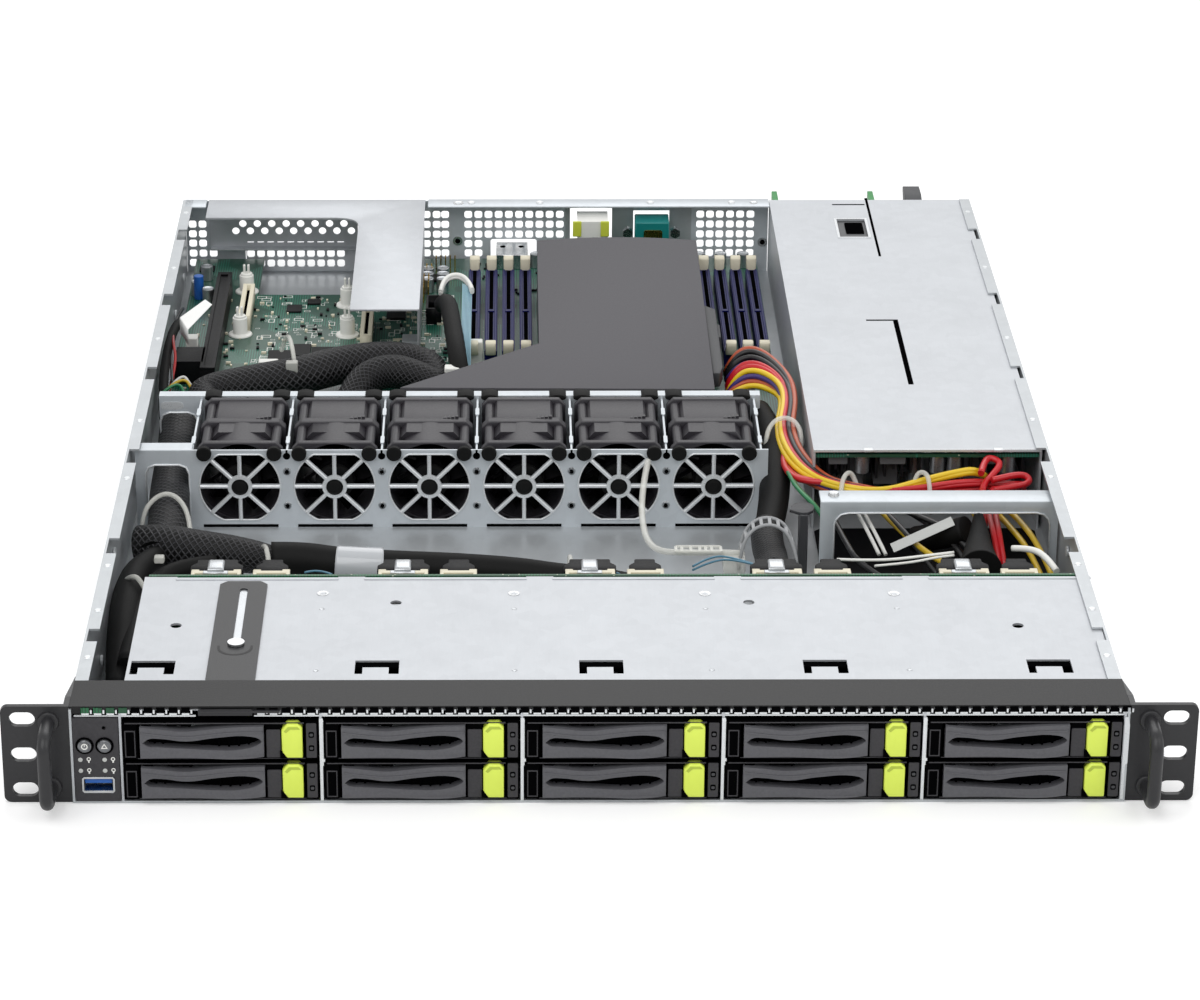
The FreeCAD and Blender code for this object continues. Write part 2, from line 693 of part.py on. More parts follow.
def rotor_form():
    """Both impellers of one fan, the blades pitched as on two screws of opposite hand."""
    x, z, front = "fan_left", "fan_axis", "fan_front"
    impellers = []
    for start, deep, blades, lean in ((3, 23.8, 5, 38), (29.2, 22, 4, -38)):
        hub_start = f"{front}+{start}"
        pieces = [prism("RotorHub", "y", 12, "fan_hub", (x, hub_start, z), f"{deep}")]
        for blade in range(blades):
            vane = doc.addObject("Part::Box", "Blade")
            drive(vane, "Length", "1.2")
            drive(vane, "Width", f"{deep}*0.8")
            drive(vane, "Height", "fan_bore-fan_hub-0.6")
            spin = Rotation(Vector(0, 1, 0), 360.0 * blade / blades)
            pitch = Rotation(Vector(0, 0, 1), lean)
            offset = spin.multVec(pitch.multVec(Vector(-0.6, -deep * 0.4, 0))
                                  + Vector(0, 0, number("fan_hub") - 0.9))
            vane.Placement.Rotation = spin.multiply(pitch)
            drive(vane, "Placement.Base.x", f"{x}+({offset.x})")
            drive(vane, "Placement.Base.y", f"{hub_start}+{deep}/2+({offset.y})")
            drive(vane, "Placement.Base.z", f"{z}+({offset.z})")
            pieces.append(vane)
        impellers.append(fuse("Impeller", pieces))
    return together("RotorForm", impellers)


def fans():
    """Six fan bodies with their rubber mounts, and a rotor in each."""
    housing, rotor = fan_housing_form(), rotor_form()
    bodies = []
    for fan in range(FANS):
        shift = f"fan_pitch*{fan}"
        bodies.append(copy_at("Housing", housing, x=shift))
        for side in (-1, 1):
            bodies.append(prism("RubberMount", "y", 12, "3.5",
                                (f"fan_left+{shift}+{side}*16.3", "wall_front-2", "fan_axis+17"),
                                "2"))
    name_part(together("FanHousings", bodies), "fan_housings")
    for fan in range(FANS):
        name_part(copy_at("Rotor", rotor, x=f"fan_pitch*{fan}"), f"fan_rotor_{fan + 1}")


# ---------------------------------------------------------------- boards and air duct

def memory_bank(first, count):
    """Memory sockets side by side, each with a latch at both ends."""
    pieces = []
    for index in range(count):
        x = f"{first}+{index}*9.4"
        top = "board_low+board_sheet"
        pieces.append(block("MemorySocket", (f"{x}-3.2", f"{x}+3.2"), ("449", "583"),
                            (top, f"{top}+8.5")))
        for start, end in (("443.5", "449"), ("583", "588.5")):
            pieces.append(block("MemoryLatch", (f"{x}-2.6", f"{x}+2.6"), (start, end),
                                (top, f"{top}+14")))
    return pieces


def heat_sink():
    """Finned processor cooler under the air duct."""
    top = "board_low+board_sheet"
    pieces = [block("SinkBase", ("-17", "57"), ("455", "545"), (f"{top}+6", f"{top}+11"))]
    for index in range(13):
        x = f"-16.2+{index}*6"
        pieces.append(block("SinkFin", (x, f"{x}+0.8"), ("455", "545"), (f"{top}+10.8", "36")))
    return [fuse("HeatSink", pieces), block("ProcessorSocket", ("-12", "52"), ("462", "538"),
                                            (top, f"{top}+6"))]


def motherboard():
    """Main board with its sockets, cooler, posts and rear connectors as separate solids."""
    top = "board_low+board_sheet"
    board = block("Board", ("board_left", "board_right"), ("board_front", "board_back"),
                  ("board_low", top))
    pieces = [board]
    pieces += memory_bank("-57.5", 4) + memory_bank("69.5", 3)
    pieces += heat_sink()
    pieces.append(block("CardSlot", ("-193", "-185.6"), ("418", "560"), (top, f"{top}+11")))
    pieces.append(block("NarrowSlot", ("-172", "-164.6"), ("500", "560"), (top, f"{top}+9")))
    for x, y in (("-170", "475"), ("-118", "475"), ("-172", "415"), ("-122", "412")):
        pieces.append(prism("NylonPost", "z", 10, "3.6", (x, y, top), "10"))
    pieces.append(block("PowerInlet", ("72", "85"), ("366", "418"), (top, f"{top}+12")))
    pieces.append(block("ChipCooler", ("-104", "-74"), ("420", "450"), (top, f"{top}+9")))
    pieces.append(block("VideoPort", ("26", "56"), ("596", "611.6"), (top, f"{top}+11")))
    jack = cut("JackShell", block("JackOuter", ("-2.5", "16.5"), ("590", "612.4"),
                                  (top, f"{top}+27")),
               [block("JackHollow", ("1", "13"), ("600", "613"), (f"{top}+17", f"{top}+25")),
                block("PortHollowLow", ("0.5", "13.5"), ("600", "613"), (f"{top}+2", f"{top}+7")),
                block("PortHollowHigh", ("0.5", "13.5"), ("600", "613"), (f"{top}+9", f"{top}+14"))])
    pieces.append(jack)
    single = cut("SingleJack", block("SingleOuter", ("-60", "-44"), ("592", "612.4"),
                                     (top, f"{top}+14.5")),
                 [block("SingleHollow", ("-58", "-46"), ("600", "613"), (f"{top}+3", f"{top}+11"))])
    pieces.append(single)
    name_part(together("Motherboard", pieces), "motherboard")


def air_duct():
    """Grey duct over the processor, flared towards the fans."""
    body = new_body("Duct")
    high, thick = "40.4", "1.4"
    low = "board_low+board_sheet+2.5"
    pad(body, "z", low, high, [
        ("-89", "346"), ("62.6", "343.5"), ("62.6", "552", "150"), ("-21.7", "552"),
        ("-21.7", "404")])
    pocket(body, "z", low, f"{high}-{thick}", [
        ("-95", "338.97"), ("-95", "330"), ("61.2", "330"), ("61.2", "570"),
        ("-20.3", "570"), ("-20.3", "403.36")])
    name_part(body, "air_duct")


def riser_bracket():
    """L-shaped bracket over the expansion slot, with a leg down to the board."""
    body = new_body("Riser")
    low, high = "wall_height-1.2", "wall_height-0.2"
    pad(body, "z", low, high, [
        ("-197", "583"), ("-129", "583", "-12*1.0001"), ("-117", "571"), ("-117", "446"),
        ("-82", "446"), ("-82", "610.8"), ("-197", "610.8")])
    pad(body, "x", "-83.2", "-82", [
        ("452", "14"), ("590", "14"), ("590", f"{low}+0.2"), ("452", f"{low}+0.2")])
    foot = block("RiserFoot", ("-92", "-82"), ("470", "482"), ("board_low+board_sheet", "15"))
    vents = []
    plate = block("SlotCover", ("-180", "-119"), ("609.6", "610.8"), ("16", f"{low}+0.2"))
    for column in range(9):
        x = f"-172+{column}*5.6"
        vents.append(block("SlotVent", (x, f"{x}+3"), ("608", "613"), ("20", "34")))
    name_part(cut("RiserVented", fuse("RiserJoined", [body, foot, plate]), vents), "riser_bracket")


# ---------------------------------------------------------------- power

def power_cage():
    """Cage of the power modules with its distribution board and the board's parts."""
    lid_low = "power_top-sheet"
    lid = new_body("PowerLid")
    pad(lid, "z", lid_low, "power_top", rectangle(
        ("power_left", "power_right"), ("power_front", "power_back")))
    step = "(power_right-power_left-sheet)/2"
    openings = [
        rectangle(("139", "154.2"), ("553.7", "581.8")),
        [("142.8", "433.5"), ("142.8", "431.5"), ("156.2", "431.5"), ("156.2", "346.8"),
         ("158.8", "346.8"), ("158.8", "433.5")]]
    pocket(lid, "z", f"{lid_low}-1", "power_top+1", *openings)
    shade = block("LidGroove", ("157", "158.4"), ("524.6", "power_back+1"),
                  (f"{lid_low}-1", "power_top+1"))
    walls = [block("PowerWall", (left, f"{left}+sheet"), ("power_front", "power_back"),
                   ("sheet", f"{lid_low}+0.2"))
             for left in ("power_left", f"power_left+{step}", "power_right-sheet")]
    arch = block("PowerBoardRoom", ("power_left+2", "power_right-2"), ("power_front-1", "328"),
                 ("2", f"{lid_low}"))
    cage = cut("PowerCageJoined", fuse("PowerCageFolded", [lid] + walls), [shade, arch])
    board = block("PowerBoard", ("power_left+1.2", "power_right-1.2"), ("power_front+0.8", "326"),
                  (f"{lid_low}-3.4", f"{lid_low}-1.8"))
    hanging = [block("PowerCoil", (f"{x}", f"{x}+11"), ("276", "288"), ("20", f"{lid_low}-3.4"))
               for x in (118, 134, 176)]
    hanging += [prism("PowerCapacitor", "z", 12, "4", (f"{x}", "281", "18"), f"{lid_low}-3.4-18")
                for x in (154, 165, 196)]
    hanging += [block("ModuleSocket", (f"power_left+{step}*{index}+8", f"power_left+{step}*{index}+44"),
                      ("312", "327"), ("10", f"{lid_low}-3.4")) for index in range(MODULES)]
    name_part(together("PowerCage", [cage, board] + hanging), "psu_cage")


def power_modules():
    """Two plug-in power modules, each with an inlet, vents, a pull handle and a side latch."""
    step = "(power_right-power_left-sheet)/2"
    left = "power_left+sheet+0.3"
    rear = "module_back"
    shell = block("ModuleShell", (left, f"{left}+module_width"), ("module_front", rear),
                  ("module_low", "module_high"))
    hollow = [block("InletHollow", (f"{left}+24", f"{left}+48"), (f"{rear}-16", f"{rear}+1"),
                    ("6", "22"))]
    for column in range(3):
        for row in range(2):
            x = f"{left}+6+{column}*6"
            hollow.append(block("ModuleVent", (x, f"{x}+4"), (f"{rear}-5", f"{rear}+1"),
                                (f"8+{row}*13", f"8+{row}*13+10")))
    hollow.append(block("LatchSlot", (f"{left}-1", f"{left}+8.5"), (f"{rear}-30", f"{rear}+1"),
                        ("30.5", "38.6")))
    hollow.append(block("ModuleFrontVent", (f"{left}+6", f"{left}+module_width-6"),
                        ("module_front-1", "module_front+6"), ("28", "38")))
    pins = [block("InletPin", (f"{left}+24+{u}", f"{left}+26+{u}"), (f"{rear}-16.2", f"{rear}-4"),
                  (z, f"{z}+4")) for u, z in ((3.5, "10"), (18.5, "10"), (11, "15"))]
    grip = [block("GripLeg", (f"{left}+{x}", f"{left}+{x}+2.4"), (f"{rear}-0.2", f"{rear}+22"),
                  ("27", "38")) for x in (26, 45)]
    grip.append(block("GripBar", (f"{left}+26", f"{left}+47.4"), (f"{rear}+22", f"{rear}+25"),
                      ("27", "38")))
    module = together("ModuleForm", [fuse("ModuleJoined", [cut("ModuleHollow", shell, hollow)]
                                          + pins + grip)])
    tab = block("LatchTab", (f"{left}+2.4", f"{left}+4.6"), (f"{rear}-20", f"{rear}+20"),
                ("31.2", "38"))
    tip = block("LatchTip", (f"{left}+1.6", f"{left}+2.6"), (f"{rear}+6", f"{rear}+20"),
                ("31.2", "38"))
    latch = fuse("LatchForm", [tab, tip])
    for index in range(MODULES):
        shift = f"{step}*{index}"
        name_part(copy_at("Module", module, x=shift), f"psu_module_{index + 1}")
        name_part(copy_at("ModuleLatch", latch, x=shift), f"psu_latch_{index + 1}")


def cross_bracket():
    """Folded bridge between the power cage and the fan wall, with a round-cornered window."""
    left, right, front = "power_left-0.8", "power_right+0.6", "209.5"
    body = new_body("CrossBracket")
    pad(body, "y", front, f"{front}+sheet", [
        (left, "sheet"), (right, "sheet"), (right, "39.4"), (left, "39.4")])
    pad(body, "z", "39.2", "40.2", rectangle((left, right), (front, f"{front}+13")))
    pocket(body, "y", f"{front}-1", f"{front}+2", [
        ("power_left+9", "0"), ("power_right-5", "0"), ("power_right-5", "27", "6*1.0001"),
        ("power_right-11", "33"), ("power_left+15", "33", "6*1.0001"), ("power_left+9", "27")])
    name_part(body, "cross_bracket")


# ---------------------------------------------------------------- cables

def harnesses():
    """Power harness from the distribution board and sleeved signal harness along the walls."""
    name_part(bar("PowerHarness", [
        (79, 412, 30), (84, 378, 30), (92, 337, 28.5), (90.8, 290, 27.5), (98, 256, 28),
        (128, 243, 29), (165, 243, 30), (200, 251, 29)], 6.4), "power_harness")
    sleeve = [
        bar("WallSleeve", [(-194, 352, 19), (-195.5, 312, 16.5), (-196, 270, 16.5), (-192, 228, 20),
                              (-168, 190, 26), (-124, 166, 28), (-74, 160, 26),
                              (-20, 160, 27)], 8),
        bar("BoardSleeve", [(-180, 368, 20), (-150, 386, 25), (-112, 384, 26),
                               (-84, 366, 22)], 8)]
    name_part(together("SignalHarness", sleeve), "signal_harness")


BUILDERS = (
    chassis_tray, rear_panel, rack_ears, ear_handles, front_top_cover, drive_cage, info_tag,
    drive_bays, control_panel, backplane, fan_bracket, fans, motherboard, air_duct,
    riser_bracket, power_cage, power_modules, cross_bracket, harnesses,
)


def check_document():
    """Stop if any object failed, or any sub-part has no valid shape."""
    for item in doc.Objects:
        if {"Invalid", "Error"} & set(item.State):
            raise ValueError(f"{item.Name} ({item.Label}) failed: {item.State}")
    for item in SUB_PARTS:
        if item.Shape.isNull() or not item.Shape.isValid():
            raise ValueError(f"{item.Label} has no valid shape")


def main():
    """Build every sub-part, check the document and write one file for each."""
    for build in BUILDERS:
        build()
    doc.recompute()
    check_document()
    os.makedirs("parts", exist_ok=True)
    for item in SUB_PARTS:
        item.Shape.exportStep(f"parts/{item.Label}.step")
    print(len(SUB_PARTS), "sub-parts written")


main()
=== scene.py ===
"""Open one-unit rack server, dressed over its CAD frame.

Sizes are written in millimetres in the object's frame: X to the right, Y to the rear, Z up,
with the origin under the rack ears' front faces. They turn to metres only where a mesh,
a light or the camera is made.
"""

import logging
import math
import random
from collections.abc import Callable, Iterator, Sequence
from contextlib import contextmanager
from dataclasses import dataclass, field
from enum import Enum

import bmesh
import bpy
from mathutils import Matrix, Vector


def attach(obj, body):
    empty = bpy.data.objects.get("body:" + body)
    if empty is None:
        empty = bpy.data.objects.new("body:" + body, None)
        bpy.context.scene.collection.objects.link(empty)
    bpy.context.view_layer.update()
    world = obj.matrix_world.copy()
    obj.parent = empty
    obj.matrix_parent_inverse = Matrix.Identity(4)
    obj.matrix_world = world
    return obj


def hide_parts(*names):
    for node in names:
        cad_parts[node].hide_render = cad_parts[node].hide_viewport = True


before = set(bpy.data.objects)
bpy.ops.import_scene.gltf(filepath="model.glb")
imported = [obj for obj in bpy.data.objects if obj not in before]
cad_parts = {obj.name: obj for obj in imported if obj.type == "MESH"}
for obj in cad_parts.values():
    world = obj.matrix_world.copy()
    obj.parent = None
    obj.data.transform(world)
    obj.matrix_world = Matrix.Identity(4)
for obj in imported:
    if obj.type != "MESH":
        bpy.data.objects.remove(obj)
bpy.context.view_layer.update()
LOG = logging.getLogger("rack_server")

MM = 0.001
CHASSIS = "chassis"
Point = tuple[float, ...]
Piece = bpy.types.Object
Socket = bpy.types.NodeSocket
Tree = bpy.types.NodeTree
Chooser = Callable[[Vector, Vector], "Finish | None"]


# ---------------- finishes

def linear(code: str) -> tuple[float, float, float, float]:
    """Turns an sRGB hex colour to linear light.

    Args:
        code: six hex digits after a hash sign.

    Returns:
        Red, green, blue and an alpha of one.
    """
    parts = [int(code[i:i + 2], 16) / 255 for i in (1, 3, 5)]
    light = [c / 12.92 if c <= 0.04045 else ((c + 0.055) / 1.055) ** 2.4 for c in parts]
    return (light[0], light[1], light[2], 1.0)


def add_node(tree: Tree, kind: str, settings: dict | None = None,
        links: dict | None = None) -> bpy.types.Node:
    """Adds a shader node.

    Args:
        tree: the node tree that takes it.
        kind: the node's type after "ShaderNode".
        settings: attributes by name, or socket values by socket name or index.
        links: output sockets by the input socket's name or index; a node gives its first.

    Returns:
        The new node.
    """
    made = tree.nodes.new("ShaderNode" + kind)
    for key, value in (settings or {}).items():
        if isinstance(key, str) and hasattr(made, key):
            setattr(made, key, value)
        else:
            made.inputs[key].default_value = value
    for key, output in (links or {}).items():
        source = output.outputs[0] if isinstance(output, bpy.types.Node) else output
        tree.links.new(source, made.inputs[key])
    return made


@dataclass(frozen=True)
class Finish:
    """A plain surface with a fine grain in its gloss.

    Attributes:
        name: the material's name.
        slot: the record's material slot; not used.
        colour: base colour, sRGB hex.
        roughness: middle roughness.
        metallic: 1 for bare metal.
        grain_mm: size of the surface's grain.
        bump: height of the grain, in mm.
        mottle: how much lighter or darker its patches are.
        patch_mm: size of the patches.
    """

    name: str
    slot: str
    colour: str
    roughness: float = 0.5
    metallic: float = 0.0
    grain_mm: float = 0.8
    bump: float = 0.02
    mottle: float = 0.06
    patch_mm: float = 12.0
    coat: float = 0.0
    alpha: float = 1.0
    specular: float = 0.5

    def material(self) -> bpy.types.Material:
        """Gives the finish as a material, made when it is first asked for."""
        known = bpy.data.materials.get(self.name)
        if known:
            return known
        made = bpy.data.materials.new(self.name)
        made.use_nodes = True
        tree = made.node_tree
        shader = tree.nodes["Principled BSDF"]
        shader.inputs["Metallic"].default_value = self.metallic
        shader.inputs["Coat Weight"].default_value = self.coat
        shader.inputs["Alpha"].default_value = self.alpha
        shader.inputs["Specular IOR Level"].default_value = self.specular
        place = add_node(tree, "TexCoord").outputs["Object"]
        self.paint(tree, shader, place)
        return made

    def paint(self, tree: Tree, shader: bpy.types.Node, place: Socket) -> None:
        """Links colour, roughness and bump to the shader.

        Args:
            tree: the material's nodes.
            shader: its principled shader.
            place: object coordinates, in metres.
        """
        tree.links.new(self.tint(tree, place), shader.inputs["Base Color"])
        grain = add_node(tree, "TexNoise", {"Scale": 1 / (self.grain_mm * MM), "Detail": 3.0},
            {"Vector": place})
        gloss = add_node(tree, "MapRange", {"To Min": max(self.roughness - 0.1, 0.05),
            "To Max": min(self.roughness + 0.1, 1.0)}, {"Value": grain.outputs["Fac"]})
        tree.links.new(gloss.outputs["Result"], shader.inputs["Roughness"])
        self.raise_grain(tree, shader, grain.outputs["Fac"])

    def tint(self, tree: Tree, place: Socket) -> Socket:
        """Makes the base colour, varied in patches.

        Args:
            tree: the material's nodes.
            place: object coordinates, in metres.

        Returns:
            The colour's output socket.
        """
        patches = add_node(tree, "TexNoise", {"Scale": 1 / (self.patch_mm * MM), "Detail": 4.0,
            "Roughness": 0.6}, {"Vector": place})
        ends = self.shades()
        return add_node(tree, "Mix", {"data_type": "RGBA", 6: ends[0], 7: ends[1]},
            {0: patches.outputs["Fac"]}).outputs[2]

    def shades(self) -> list[Point]:
        """Gives the darkest and the palest linear colour of the patches."""
        return [tuple(min(c * (1 + s * self.mottle), 1.0) for c in linear(self.colour)[:3])
            + (1.0,) for s in (-1, 1)]

    def raise_grain(self, tree: Tree, shader: bpy.types.Node, height: Socket) -> None:
        """Links a height to the shader's normal.

        Args:
            tree: the material's nodes.
            shader: its principled shader.
            height: a socket from 0 to 1.
        """
        bump = add_node(tree, "Bump", {"Strength": 1.0, "Distance": self.bump * MM},
            {"Height": height})
        tree.links.new(bump.outputs["Normal"], shader.inputs["Normal"])


@dataclass(frozen=True)
class RolledSheet(Finish):
    """Hot-dip galvanised steel sheet: soft grey spangle under fine rolling lines."""

    spangle_mm: float = 5.0

    def paint(self, tree: Tree, shader: bpy.types.Node, place: Socket) -> None:
        """Links spangle, rolling lines and gloss; the arguments are as for Finish.paint."""
        spangle = add_node(tree, "TexVoronoi",
            {"Scale": 1 / (self.spangle_mm * MM), "Randomness": 1.0}, {"Vector": place})
        cell = add_node(tree, "SeparateColor", {}, {0: spangle.outputs["Color"]})
        ends = self.shades()
        soft = add_node(tree, "TexNoise", {"Scale": 1 / (self.patch_mm * MM), "Detail": 3.0},
            {"Vector": place})
        both = add_node(tree, "Math", {"operation": "MULTIPLY_ADD", 1: 0.35},
            {0: cell, 2: soft.outputs["Fac"]})
        share = add_node(tree, "Math", {"operation": "MULTIPLY", 1: 0.74}, {0: both})
        tint = add_node(tree, "Mix", {"data_type": "RGBA", 6: ends[0], 7: ends[1]}, {0: share})
        tree.links.new(tint.outputs[2], shader.inputs["Base Color"])
        stretch = add_node(tree, "Mapping", {"Scale": (1.0, 0.06, 1.0)}, {"Vector": place})
        lines = add_node(tree, "TexNoise", {"Scale": 1 / (self.grain_mm * MM), "Detail": 2.0},
            {"Vector": stretch.outputs["Vector"]})
        gloss = add_node(tree, "MapRange", {"To Min": self.roughness - 0.07,
            "To Max": self.roughness + 0.09}, {"Value": lines.outputs["Fac"]})
        tree.links.new(gloss.outputs["Result"], shader.inputs["Roughness"])
        self.raise_grain(tree, shader, lines.outputs["Fac"])


@dataclass(frozen=True)
class CircuitBoard(Finish):
    """Solder mask over copper: parallel traces show as paler lines, with plated holes."""

    trace: str = "#2c7460"
    pad_colour: str = "#b9bda8"
    trace_mm: float = 1.3

    def tint(self, tree: Tree, place: Socket) -> Socket:
        """Makes the mask's colour with its traces and holes; arguments as for Finish.tint."""
        cells = add_node(tree, "TexVoronoi", {"Scale": 1 / (22 * MM), "distance": "MANHATTAN"},
            {"Vector": place})
        hue = add_node(tree, "SeparateColor", {}, {0: cells.outputs["Color"]})
        turn = add_node(tree, "Math", {"operation": "SNAP", 1: 0.7854}, {0: hue})
        spun = add_node(tree, "VectorRotate", {"rotation_type": "Z_AXIS"},
            {"Vector": place, "Angle": turn})
        lines = add_node(tree, "TexWave",
            {"Scale": 0.3142 / (self.trace_mm * MM), "Distortion": 0.0}, {"Vector": spun})
        shown = add_node(tree, "Math", {"operation": "GREATER_THAN", 1: 0.62},
            {0: lines.outputs["Fac"]})
        routed = add_node(tree, "Math", {"operation": "GREATER_THAN", 1: 0.35},
            {0: hue.outputs[1]})
        mask = add_node(tree, "Math", {"operation": "MULTIPLY"}, {0: shown, 1: routed})
        green = add_node(tree, "Mix", {"data_type": "RGBA", 6: linear(self.colour),
            7: linear(self.trace)}, {0: mask})
        dots = add_node(tree, "TexVoronoi", {"Scale": 1 / (3.4 * MM), "Randomness": 0.8},
            {"Vector": place})
        near = add_node(tree, "Math", {"operation": "LESS_THAN", 1: 0.11},
            {0: dots.outputs["Distance"]})
        return add_node(tree, "Mix", {"data_type": "RGBA", 7: linear(self.pad_colour)},
            {0: near, 6: green.outputs[2]}).outputs[2]


@dataclass(frozen=True)
class Braid(Finish):
    """Braided polyester sleeve: crossing bundles of filament, each catching the light, with
    painted shade in the openings between them.
    """

    # Near-black colour of the openings between the bundles: painted shade.
    opening_shade: str = "#050505"
    strands_round: float = 16.0
    pitch_mm: float = 3.4

    def paint(self, tree: Tree, shader: bpy.types.Node, place: Socket) -> None:
        """Links the weave, read from the sleeve's own UV map; arguments as for Finish.paint."""
        around = add_node(tree, "UVMap", {"uv_map": "UVMap"})
        split = add_node(tree, "SeparateXYZ", {}, {0: around.outputs["UV"]})
        lanes = []
        for sense in (-1.0, 1.0):
            run = add_node(tree, "Math",
                {"operation": "MULTIPLY", 1: sense / (self.pitch_mm * MM)}, {0: split.outputs[1]})
            lane = add_node(tree, "Math", {"operation": "MULTIPLY_ADD", 1: self.strands_round},
                {0: split, 2: run})
            wave = add_node(tree, "Math", {"operation": "PINGPONG", 1: 0.5}, {0: lane})
            lanes.append(wave)
        ridge = add_node(tree, "Math", {"operation": "MAXIMUM"}, {0: lanes[0], 1: lanes[1]})
        shape = add_node(tree, "MapRange", {"From Min": 0.3, "From Max": 0.5}, {"Value": ridge})
        # The openings take the near-black colour: painted shade.
        tint = add_node(tree, "Mix", {"data_type": "RGBA", 6: linear(self.opening_shade),
            7: linear(self.colour)}, {0: shape.outputs["Result"]})
        tree.links.new(tint.outputs[2], shader.inputs["Base Color"])
        shader.inputs["Roughness"].default_value = self.roughness
        self.raise_grain(tree, shader, shape.outputs["Result"])


